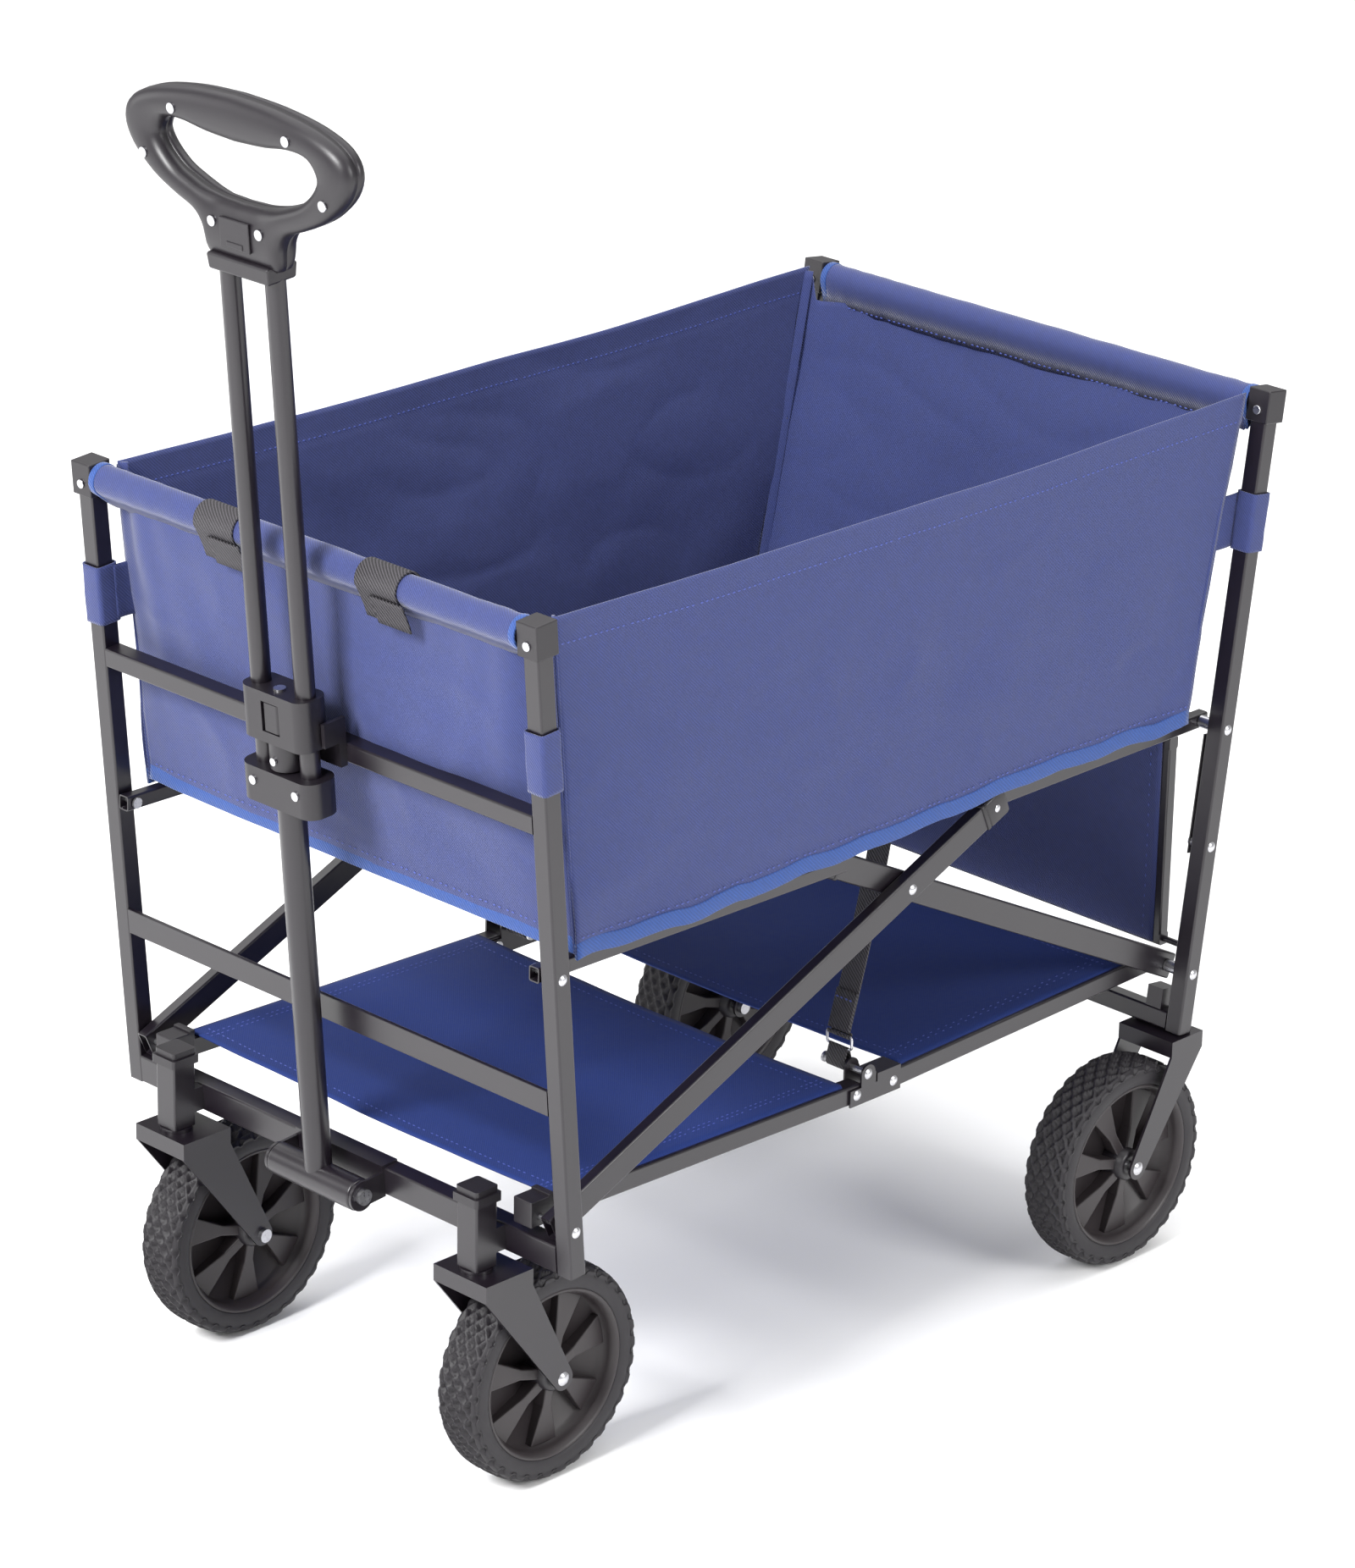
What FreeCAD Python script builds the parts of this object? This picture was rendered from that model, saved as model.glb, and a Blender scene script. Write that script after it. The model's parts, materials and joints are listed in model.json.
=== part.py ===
import FreeCAD, Part
import math
import os

# Folding two-deck wagon with a telescopic pull handle. Millimetres.
# +Z is up, the handle end faces -Y, +X is the wagon's right side, and the
# origin is on the ground under the middle of the wagon.

# Overall layout
POST_X = 280.0             # centre of each corner post from the middle
FRONT_PIVOT_Y = -384.0     # low pivot of the front end frame
REAR_PIVOT_Y = 427.0       # low pivot of the rear end frame
PIVOT_Z = 279.0            # height of both low pivots
FRONT_LEAN = 4.6           # the end frames splay outwards at the top, degrees
REAR_LEAN = 7.5
RIM_Z = 843.0              # top of the corner caps, measured along a post

# Tube sections
POST = 18.0
WALL = 1.2
CORNER_R = 2.0
CROSSBAR_R = 9.0
BOTTOM_RAIL_H = 27.0
LINK_W = 12.0              # width across X of the scissor and side tubes
SCISSOR_H = 25.0
SIDE_RAIL_H = 14.0
DECK_TUBE = 18.0

# Heights along the posts
CAP_H = 31.0
CAP_SIDE = 24.5
CAP_ARM = 34.0
FRONT_POST_BOTTOM = 236.0
REAR_POST_BOTTOM = 220.0
UPPER_RAIL_Z = 659.0
MID_BAR_Z = 400.0
MID_BAR_H = 24.0
MID_BAR_T = 4.0
FRONT_RAIL_Z = 249.5
REAR_RAIL_Z = 229.0
CROSSBAR_Z = 828.0
SIDE_PIVOT_Z = 519.0       # upper pivots of the side rails
STAY_PIVOT_Z = 405.0

# Pivot points of the side linkage, world Y and Z
CROSSING = (50.5, 466.0)
TOP_OF_A = (159.0, 514.5)
TOP_OF_B = (-46.0, 514.5)
HINGE_FRONT_Y = 12.5
HINGE_REAR_Y = 60.5
HINGE_Z = 269.0

# Planes across X that the links turn in
OUTER_LINK_X = 263.5
INNER_LINK_X = 250.5
DECK_X = 234.0

# Pull straps over the centre hinges
STRAP_BOLT = (26.5, 286.0)     # Y and Z of the long bolt through the hinge's ears
STRAP_TOP = (82.0, 530.0)
STRAP_RUN = 219.0
STRAP_W = 25.0
STRAP_T = 1.6

# Pins
PIN_R = 3.0
PIN_CLEARANCE = 0.05
HEAD_R = 5.0
HEAD_T = 2.2

# Wheels
WHEEL_R = 102.0
TYRE_W = 47.0
RIM_R = 80.0
RIM_W = 42.0
HUB_R = 16.0
SPOKES = 7
AXLE_R = 4.0
FORK_W = 66.0
FORK_T = 2.5
FRONT_WHEEL_X = 197.0
FRONT_HUB_Y = -339.0
STEM_Y = -413.0
REAR_WHEEL_X = 259.5
REAR_HUB_Y = 356.0
STEM = 25.0

# Handle
HANDLE_OUT = 36.0          # handle axis in front of the post plane
HANDLE_PIVOT_Z = 246.0
LOWER_TUBE_R = 12.5
TWIN_R = 9.0
TWIN_X = 28.0
LATCH_Z = (669.0, 716.0)
SLIDER_Z = (609.0, 642.0)
SLEEVE_Z = 644.0           # lower end of the sleeve under the latch block
GRIP_BOTTOM_Z = 1097.0
GRIP_DEPTH = 30.0
BLOCK_DEPTH = 34.0

# Tub
CLOTH = 2.0
TUB_BOTTOM_Z = 524.0
TUB_TOP_Z = 833.0
TUB_SIDE_X = 272.4         # outer face of the side cloth
TUB_HALF_X = 243.0         # half width of the end cloths and floor panels, inside the links
HEM_HALF_X = 231.0
FRONT_TAPER = 3.4          # the end cloths run in towards the bottom, degrees
REAR_TAPER = 6.3
SIDE_FRONT_RUN = 46.0      # how far the side cloth's ends run in towards the bottom
SIDE_REAR_RUN = 71.0
FLOOR_Z = 533.5
FLOOR_T = 3.5
FLOOR_FRONT = (-323.0, -75.0)    # Y limits of the stiff floor panels
FLOOR_REAR = (190.0, 402.0)

# Tailgate of the lower deck
TAILGATE_Y = 448.0
TAILGATE_Z = (287.0, 497.0)
TAILGATE_X = 234.0         # half width
TAILGATE_TUBE = 12.0
EAR_T = 2.5                # ears on the rear posts that hold the tailgate pins
EAR_R = 9.0
STAY_X = 267.2             # flat stays inside the rear posts
STAY_T = 1.6

# Casters
STEM_TOP = 296.0
STEM_BOTTOM = 226.0
SPINDLE_R = 6.0

# How far each link runs on past its pivots
LOW_OVERRUN = 8.0
TOP_OVERRUN = 12.0
SIDE_RAIL_OVERRUN = 9.0
DECK_OVERRUN = 7.0

ORIGIN = FreeCAD.Vector(0, 0, 0)
X_AXIS = FreeCAD.Vector(1, 0, 0)
Y_AXIS = FreeCAD.Vector(0, 1, 0)
Z_AXIS = FreeCAD.Vector(0, 0, 1)
SIDES = (-1, 1)

os.makedirs("parts", exist_ok=True)


def save(name, *solids):
    """Write one node, which holds one solid or a group of equal solids."""
    shape = solids[0] if len(solids) == 1 else Part.makeCompound(list(solids))
    shape.exportStep("parts/" + name + ".step")


def box(x, y, z):
    """A box between three pairs of limits."""
    corner = FreeCAD.Vector(x[0], y[0], z[0])
    return Part.makeBox(x[1] - x[0], y[1] - y[0], z[1] - z[0], corner)


def block(size, centre):
    """A box of a given size about its centre."""
    limits = [(c - s / 2, c + s / 2) for s, c in zip(size, centre)]
    return box(*limits)


def rod_x(radius, x0, x1, y, z):
    """A round bar along X."""
    return Part.makeCylinder(radius, x1 - x0, FreeCAD.Vector(x0, y, z), X_AXIS)


def rod_y(radius, y0, y1, x, z):
    """A round bar along Y."""
    return Part.makeCylinder(radius, y1 - y0, FreeCAD.Vector(x, y0, z), Y_AXIS)


def rod_z(radius, z0, z1, x, y):
    """A round bar along Z."""
    return Part.makeCylinder(radius, z1 - z0, FreeCAD.Vector(x, y, z0), Z_AXIS)


def rounded_rectangle(width, height, radius):
    """A wire in the XY plane about the origin, with round corners."""
    dx, dy = width / 2 - radius, height / 2 - radius
    edges = []
    for turn, (cx, cy) in enumerate([(dx, dy), (-dx, dy), (-dx, -dy), (dx, -dy)]):
        centre = FreeCAD.Vector(cx, cy, 0)
        circle = Part.Circle(centre, Z_AXIS, radius)
        start = turn * math.pi / 2
        edges.append(Part.Arc(circle, start, start + math.pi / 2).toShape())
    sides = []
    for here, after in zip(edges, edges[1:] + edges[:1]):
        sides.append(Part.makeLine(here.Vertexes[-1].Point, after.Vertexes[0].Point))
    loop = [edge for pair in zip(edges, sides) for edge in pair]
    return Part.Wire(loop)


def solid_bar(width, height, radius, length):
    """A solid bar of rounded rectangular section that runs up Z from zero."""
    face = Part.Face(rounded_rectangle(width, height, radius))
    return face.extrude(FreeCAD.Vector(0, 0, length))


def square_tube(width, height, length):
    """An open tube of rounded rectangular section that runs up Z from zero."""
    outer = solid_bar(width, height, CORNER_R, length)
    inner = solid_bar(width - 2 * WALL, height - 2 * WALL, CORNER_R - WALL / 2, length)
    return outer.cut(inner)


def round_tube_z(radius, wall, z0, z1, x, y):
    """A round tube along Z."""
    return rod_z(radius, z0, z1, x, y).cut(rod_z(radius - wall, z0, z1, x, y))


def turn_to_x(shape, x0, y, z):
    """Lay a shape that runs up Z from zero along X, from x0."""
    shape.rotate(ORIGIN, Y_AXIS, 90)
    shape.translate(FreeCAD.Vector(x0, y, z))
    return shape


def along_side(shape, x, start, end):
    """Lay a shape that runs up Z along a line of the YZ plane at x."""
    angle = math.degrees(math.atan2(start[0] - end[0], end[1] - start[1]))
    shape.rotate(ORIGIN, X_AXIS, angle)
    shape.translate(FreeCAD.Vector(x, start[0], start[1]))
    return shape


def mirror_x(shape):
    """The same shape on the other side of the wagon."""
    return shape.mirror(ORIGIN, X_AXIS)


def pair(shape):
    """A right-hand shape and its left-hand copy."""
    return [shape, mirror_x(shape)]


def tilt_front(shape):
    """Lean a shape of the front end frame outwards about its low pivots."""
    shape.rotate(FreeCAD.Vector(0, FRONT_PIVOT_Y, PIVOT_Z), X_AXIS, FRONT_LEAN)
    return shape


def tilt_rear(shape):
    """Lean a shape of the rear end frame outwards about its low pivots."""
    shape.rotate(FreeCAD.Vector(0, REAR_PIVOT_Y, PIVOT_Z), X_AXIS, -REAR_LEAN)
    return shape


def distance(start, end):
    return math.hypot(end[0] - start[0], end[1] - start[1])


def on_post(pivot_y, lean, height):
    """World Y and Z of a point at a height along a leaning post."""
    reach = height - PIVOT_Z
    outward = -1 if pivot_y < 0 else 1
    angle = math.radians(lean)
    return (pivot_y + outward * reach * math.sin(angle), PIVOT_Z + reach * math.cos(angle))


FRONT_LOW = (FRONT_PIVOT_Y, PIVOT_Z)
REAR_LOW = (REAR_PIVOT_Y, PIVOT_Z)
FRONT_SIDE_PIVOT = on_post(FRONT_PIVOT_Y, FRONT_LEAN, SIDE_PIVOT_Z)
REAR_SIDE_PIVOT = on_post(REAR_PIVOT_Y, REAR_LEAN, SIDE_PIVOT_Z)
POST_INNER_X = POST_X - POST / 2
POST_OUTER_X = POST_X + POST / 2
HANDLE_Y = FRONT_PIVOT_Y - HANDLE_OUT


# ---------------------------------------------------------------- end frames

def corner_post(pivot_y, bottom):
    """A square post, drilled across for the pivot bolts."""
    length = RIM_Z - 3 - bottom
    post = square_tube(POST, POST, length)
    post.translate(FreeCAD.Vector(POST_X, pivot_y, bottom))
    for height in (PIVOT_Z, SIDE_PIVOT_Z):
        post = post.cut(rod_x(PIN_R, POST_INNER_X - 1, POST_OUTER_X + 1, pivot_y, height))
    return post


def corner_cap(pivot_y):
    """A moulded cap over the post top, with an arm that holds the crossbar."""
    size = (CAP_SIDE, CAP_SIDE, CAP_H)
    head = block(size, (POST_X, pivot_y, RIM_Z - CAP_H / 2))
    head = head.makeFillet(1.2, head.Edges)
    arm_side = 2 * CROSSBAR_R + 4
    inner_end = POST_X - CAP_SIDE / 2 - CAP_ARM
    arm = rod_x(arm_side / 2, inner_end, POST_X, pivot_y, CROSSBAR_Z)
    cap = head.fuse(arm)
    socket = block((POST, POST, CAP_H), (POST_X, pivot_y, RIM_Z - 3 - CAP_H / 2))
    bar_end = rod_x(CROSSBAR_R, inner_end - 1, POST_INNER_X - 2, pivot_y, CROSSBAR_Z)
    return cap.cut(socket).cut(bar_end)


def crossbar(pivot_y):
    """The round tube inside the end hem."""
    end = POST_INNER_X - 2
    bar = rod_x(CROSSBAR_R, -end, end, pivot_y, CROSSBAR_Z)
    bore = rod_x(CROSSBAR_R - WALL, -end, end, pivot_y, CROSSBAR_Z)
    return bar.cut(bore)


def cross_rail(width, height, pivot_y, z):
    """A rail between the posts, with its front face level with theirs."""
    rail = square_tube(height, width, 2 * POST_INNER_X)
    return turn_to_x(rail, -POST_INNER_X, pivot_y, z)


def domed_head(x, y, z):
    """A low round rivet head that stands out along +X."""
    dome_r = (HEAD_R ** 2 + HEAD_T ** 2) / (2 * HEAD_T)
    ball = Part.makeSphere(dome_r, FreeCAD.Vector(x + HEAD_T - dome_r, y, z))
    return ball.common(rod_x(HEAD_R, x, x + HEAD_T + 1, y, z))


def pivot_bolt(y, z, outer_x, inner_x, shoulder=None):
    """A bolt along X with a domed outer head and a flat inner head."""
    bolt = rod_x(PIN_R, inner_x, outer_x, y, z)
    bolt = bolt.fuse(domed_head(outer_x, y, z))
    bolt = bolt.fuse(rod_x(HEAD_R, inner_x - HEAD_T, inner_x, y, z))
    if shoulder:
        bolt = bolt.fuse(rod_x(HEAD_R + 1, shoulder[0], shoulder[1], y, z))
    return bolt


def cap_screw(x, pivot_y, z, face, reach):
    """A screw on the -Y side of a cap, with its head against the face."""
    shank = rod_y(1.8, face, face + reach, x, z)
    head = rod_y(4.2, face - 1.6, face, x, z)
    return shank.fuse(head.makeFillet(0.7, [head.Edges[0], head.Edges[2]]))


DECK_INNER_X = DECK_X - DECK_TUBE / 2
OUTER_LINK = (OUTER_LINK_X - LINK_W / 2, OUTER_LINK_X + LINK_W / 2)
INNER_LINK = (INNER_LINK_X - LINK_W / 2, INNER_LINK_X + LINK_W / 2)


def front_frame():
    y = FRONT_PIVOT_Y
    post = tilt_front(corner_post(y, FRONT_POST_BOTTOM))
    save("front_posts", *pair(post))
    save("front_upper_rail", tilt_front(cross_rail(POST, POST, y, UPPER_RAIL_Z)))
    bar_y = y - POST / 2 + MID_BAR_T / 2
    bar = block((2 * POST_INNER_X, MID_BAR_T, MID_BAR_H), (0, bar_y, MID_BAR_Z))
    bar = bar.makeFillet(0.8, [e for e in bar.Edges if abs(e.tangentAt(0).x) > 0.9])
    save("front_mid_bar", tilt_front(bar))
    save("front_bottom_rail", tilt_front(cross_rail(POST, BOTTOM_RAIL_H, y, FRONT_RAIL_Z)))
    save("front_top_crossbar", tilt_front(crossbar(y)))
    cap = corner_cap(y)
    screw_z = RIM_Z - CAP_H / 2 - 4
    face = y - CAP_SIDE / 2
    screw_a = cap_screw(POST_X, y, screw_z, face, 3.1)
    arm_face = y - CROSSBAR_R - 2
    screw_b = cap_screw(POST_X - CAP_SIDE, y, CROSSBAR_Z, arm_face - 0.2, 1.6)
    cap = cap.cut(screw_a).cut(screw_b)
    save("corner_caps_front", *pair(tilt_front(cap)))
    low = pivot_bolt(y, PIVOT_Z, POST_OUTER_X, DECK_INNER_X - 1, (POST_INNER_X - 1.2, POST_INNER_X))
    high = pivot_bolt(y, SIDE_PIVOT_Z, POST_OUTER_X, OUTER_LINK[0] - 1)
    fasteners = []
    for piece in (low, high, screw_a, screw_b):
        fasteners += pair(tilt_front(piece))
    fasteners.append(tilt_front(handle_pivot_bolt()))
    save("front_fasteners", *fasteners)


def tailgate_ear():
    """A plate welded inside a rear post, drilled for the tailgate's pin."""
    pin_z = TAILGATE_Z[0] + TAILGATE_TUBE / 2
    faces = (POST_INNER_X - EAR_T, POST_INNER_X)
    plate = box(faces, (REAR_PIVOT_Y + 7, TAILGATE_Y), (pin_z - EAR_R, pin_z + EAR_R))
    plate = plate.fuse(rod_x(EAR_R, faces[0], faces[1], TAILGATE_Y, pin_z))
    return plate.cut(rod_x(PIN_R + PIN_CLEARANCE, faces[0] - 1, faces[1] + 1, TAILGATE_Y, pin_z))


def rear_frame():
    y = REAR_PIVOT_Y
    post = corner_post(y, REAR_POST_BOTTOM)
    post = post.cut(rod_x(PIN_R, POST_INNER_X - 1, POST_OUTER_X + 1, y, STAY_PIVOT_Z))
    save("rear_posts", *pair(tilt_rear(post).fuse(tailgate_ear())))
    save("rear_top_crossbar", tilt_rear(crossbar(y)))
    cap = corner_cap(y)
    screw_z = RIM_Z - CAP_H / 2 - 4
    face = y - CAP_SIDE / 2
    screw_a = cap_screw(POST_X, y, screw_z, face, 3.1)
    arm_face = y - CROSSBAR_R - 2
    screw_b = cap_screw(POST_X - CAP_SIDE, y, CROSSBAR_Z, arm_face - 0.2, 1.6)
    cap = cap.cut(screw_a).cut(screw_b)
    save("corner_caps_rear", *pair(tilt_rear(cap)))
    spacer = (INNER_LINK[1] + 0.5, POST_INNER_X)
    low = pivot_bolt(y, PIVOT_Z, POST_OUTER_X, DECK_INNER_X - 1, spacer)
    high = pivot_bolt(y, SIDE_PIVOT_Z, POST_OUTER_X, INNER_LINK[0] - 1, spacer)
    washer = (STAY_X + STAY_T / 2, POST_INNER_X)
    stay = pivot_bolt(y, STAY_PIVOT_Z, POST_OUTER_X, STAY_X - STAY_T / 2, washer)
    fasteners = []
    for piece in (low, high, stay, screw_a, screw_b):
        fasteners += pair(tilt_rear(piece))
    fasteners += pair(axle(REAR_WHEEL_X, REAR_HUB_Y))
    save("rear_fasteners", *fasteners)
    rail = cross_rail(POST, POST, y, REAR_RAIL_Z)
    stub = box((245.0, 263.0), (y - POST / 2, y + POST / 2), (REAR_RAIL_Z + POST / 2, 258.0))
    save("rear_bottom_rail", tilt_rear(rail.fuse(pair(stub))))


# ------------------------------------------------------------ casters, forks

def caster_stems():
    """Square sockets in front of the bottom rail, joined to it by a short bar."""
    top, bottom = STEM_TOP, STEM_BOTTOM
    stem = solid_bar(STEM, STEM, CORNER_R, top - bottom)
    stem.translate(FreeCAD.Vector(FRONT_WHEEL_X, STEM_Y, bottom))
    rail_face = on_post(FRONT_PIVOT_Y, FRONT_LEAN, FRONT_RAIL_Z)[0] - POST / 2
    bridge = box((FRONT_WHEEL_X - STEM / 2, FRONT_WHEEL_X + STEM / 2),
                 (STEM_Y, rail_face + 0.6), (238.0, 261.0))
    stem = stem.fuse(bridge)
    stem = stem.cut(tilt_front(cross_rail_solid()))
    spindle_hole = rod_z(SPINDLE_R + PIN_CLEARANCE, bottom - 1, top - 12, FRONT_WHEEL_X, STEM_Y)
    save("caster_stems", *pair(stem.cut(spindle_hole)))
    cap = solid_bar(STEM + 1.5, STEM + 1.5, 3.0, 6.0)
    cap.translate(FreeCAD.Vector(FRONT_WHEEL_X, STEM_Y, top))
    collar = solid_bar(STEM + 6, STEM + 6, 3.0, 8.0)
    collar = collar.cut(solid_bar(STEM, STEM, CORNER_R, 8.0))
    collar.translate(FreeCAD.Vector(FRONT_WHEEL_X, STEM_Y, top - 8))
    save("stem_snap_caps", *pair(cap.fuse(collar)))


def cross_rail_solid():
    """The front bottom rail without its bore, to trim what is welded to it."""
    bar = solid_bar(BOTTOM_RAIL_H, POST, CORNER_R, 2 * POST_INNER_X)
    return turn_to_x(bar, -POST_INNER_X, FRONT_PIVOT_Y, FRONT_RAIL_Z)


def fork(x, top_y, top_z, hub_y, depth, radius):
    """A stamped fork: a top plate and two legs that slant to the hub."""
    half = FORK_W / 2
    plate = box((x - half, x + half), (top_y - depth / 2, top_y + depth / 2), (top_z - FORK_T, top_z))
    lip = box((x - half, x + half), (top_y - depth / 2, top_y - depth / 2 + FORK_T), (top_z - 16, top_z))
    legs = []
    for side in SIDES:
        outer = x + side * half
        inner = outer - side * FORK_T
        low, high = min(outer, inner), max(outer, inner)
        outline = fork_leg_outline(top_y, top_z, hub_y, depth, radius)
        leg = outline.extrude(FreeCAD.Vector(high - low, 0, 0))
        leg.translate(FreeCAD.Vector(low, 0, 0))
        legs.append(leg)
    body = plate.fuse([lip] + legs)
    holes = rod_x(AXLE_R, x - half - 1, x + half + 1, hub_y, WHEEL_R)
    return body.cut(holes)


def fork_leg_outline(top_y, top_z, hub_y, depth, radius):
    """The flat shape of a fork leg in the YZ plane, round at the hub."""
    hub = FreeCAD.Vector(0, hub_y, WHEEL_R)
    slant = math.atan2(hub_y - top_y, top_z - WHEEL_R)
    across = FreeCAD.Vector(0, math.cos(slant), math.sin(slant)) * radius
    along = FreeCAD.Vector(0, math.sin(slant), -math.cos(slant)) * radius
    front_top = FreeCAD.Vector(0, top_y - depth / 2, top_z)
    rear_top = FreeCAD.Vector(0, top_y + depth / 2, top_z)
    drop = FreeCAD.Vector(0, 0, -16)
    arc = Part.Arc(hub + across, hub + along, hub - across).toShape()
    edges = [
        Part.makeLine(front_top, rear_top),
        Part.makeLine(rear_top, rear_top + drop),
        Part.makeLine(rear_top + drop, hub + across),
        arc,
        Part.makeLine(hub - across, front_top + drop),
        Part.makeLine(front_top + drop, front_top),
    ]
    return Part.Face(Part.Wire(edges))


def axle(x, hub_y):
    """The wheel's axle bolt with a domed head and a nut."""
    half = FORK_W / 2
    bolt = rod_x(AXLE_R, x - half, x + half, hub_y, WHEEL_R)
    side = 1 if x > 0 else -1
    head = domed_head(0, 0, 0)
    head.scale(1.3)
    nut = rod_x(6.5, -4.5, 0, 0, 0)
    if side < 0:
        head = mirror_x(head)
        nut = mirror_x(nut)
    head.translate(FreeCAD.Vector(x + side * half, hub_y, WHEEL_R))
    nut.translate(FreeCAD.Vector(x - side * half, hub_y, WHEEL_R))
    return bolt.fuse(head).fuse(nut)


def forks():
    for side, word in ((-1, "left"), (1, "right")):
        x = side * FRONT_WHEEL_X
        body = fork(x, STEM_Y + 8, 222.0, FRONT_HUB_Y, 56.0, 11.0)
        spindle = rod_z(SPINDLE_R, 222.0, 283.0, x, STEM_Y)
        washer = rod_z(15.0, 222.0, 225.6, x, STEM_Y)
        save("caster_fork_" + word, body.fuse([spindle, washer]))
        save("axle_front_" + word, axle(x, FRONT_HUB_Y))
    rear_top_y = on_post(REAR_PIVOT_Y, REAR_LEAN, REAR_POST_BOTTOM)[0]
    rear = fork(REAR_WHEEL_X, rear_top_y, 219.0, REAR_HUB_Y, 44.0, 11.0)
    rail = solid_bar(POST, POST, CORNER_R, 2 * POST_INNER_X)
    rail = tilt_rear(turn_to_x(rail, -POST_INNER_X, REAR_PIVOT_Y, REAR_RAIL_Z))
    post = solid_bar(POST, POST, CORNER_R, RIM_Z - REAR_POST_BOTTOM)
    post.translate(FreeCAD.Vector(POST_X, REAR_PIVOT_Y, REAR_POST_BOTTOM))
    rear = rear.cut(rail).cut(tilt_rear(post))
    save("rear_forks", *pair(rear))


# -------------------------------------------------------------------- wheels

def tyre(x, hub_y):
    """A solid tyre: flat tread with round shoulders, and a groove in each wall."""
    half = TYRE_W / 2
    shoulder = 8.0
    profile = [
        (-RIM_W / 2, RIM_R), (-half, RIM_R + 4), (-half, WHEEL_R - shoulder),
        (-half + 4, WHEEL_R - 2), (-half + 9, WHEEL_R), (half - 9, WHEEL_R),
        (half - 4, WHEEL_R - 2), (half, WHEEL_R - shoulder), (half, RIM_R + 4),
        (RIM_W / 2, RIM_R), (-RIM_W / 2, RIM_R),
    ]
    points = [FreeCAD.Vector(a, 0, r) for a, r in profile]
    face = Part.Face(Part.makePolygon(points))
    ring = face.revolve(ORIGIN, X_AXIS, 360)
    ring.translate(FreeCAD.Vector(x, hub_y, WHEEL_R))
    return ring


def rim(x, hub_y):
    """A moulded rim: an outer band, a hub and wedge-shaped spokes."""
    half = RIM_W / 2
    band = rod_x(RIM_R, -half, half, 0, 0).cut(rod_x(RIM_R - 5, -half, half, 0, 0))
    hub = rod_x(HUB_R, -half - 3, half + 3, 0, 0)
    web = rod_x(RIM_R - 4, -1.5, 1.5, 0, 0)
    spokes = []
    for number in range(SPOKES):
        wedge = Part.makePolygon([
            FreeCAD.Vector(-half + 6, -4, HUB_R - 3), FreeCAD.Vector(-half + 6, 4, HUB_R - 3),
            FreeCAD.Vector(-half + 6, 16, RIM_R - 4), FreeCAD.Vector(-half + 6, -16, RIM_R - 4),
            FreeCAD.Vector(-half + 6, -4, HUB_R - 3),
        ])
        spoke = Part.Face(wedge).extrude(FreeCAD.Vector(RIM_W - 12, 0, 0))
        spoke.rotate(ORIGIN, X_AXIS, number * 360 / SPOKES)
        spokes.append(spoke.common(rod_x(RIM_R - 4, -half, half, 0, 0)))
    body = band.fuse([hub, web] + spokes)
    body = body.cut(rod_x(AXLE_R + PIN_CLEARANCE, -half - 4, half + 4, 0, 0))
    body.translate(FreeCAD.Vector(x, hub_y, WHEEL_R))
    return body


def wheels():
    places = [("front", FRONT_WHEEL_X, FRONT_HUB_Y), ("rear", REAR_WHEEL_X, REAR_HUB_Y)]
    for end, x, hub_y in places:
        for side, word in ((-1, "left"), (1, "right")):
            save("tyre_" + end + "_" + word, tyre(side * x, hub_y))
            save("rim_" + end + "_" + word, rim(side * x, hub_y))


# ------------------------------------------------------------------- linkage

def drilled_link(x, height, start, end, overruns, holes):
    """A tube between two pivots, longer than them at both ends, and drilled."""
    length = distance(start, end)
    tube = square_tube(LINK_W, height, length + sum(overruns))
    tube.translate(FreeCAD.Vector(0, 0, -overruns[0]))
    tube = along_side(tube, x, start, end)
    for y, z, radius in holes:
        tube = tube.cut(rod_x(radius, x - LINK_W, x + LINK_W, y, z))
    return tube


def end_rivets(x0, x1, outer, *points):
    """Short rivets through one tube wall pair, headed on the outer or inner side."""
    made = []
    for y, z in points:
        shank = rod_x(PIN_R, x0, x1, y, z)
        if outer:
            shank = shank.fuse(domed_head(x1, y, z))
        else:
            head = domed_head(0, 0, 0)
            head = mirror_x(head)
            head.translate(FreeCAD.Vector(x0, y, z))
            shank = shank.fuse(head)
        made += pair(shank)
    return made


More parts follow.
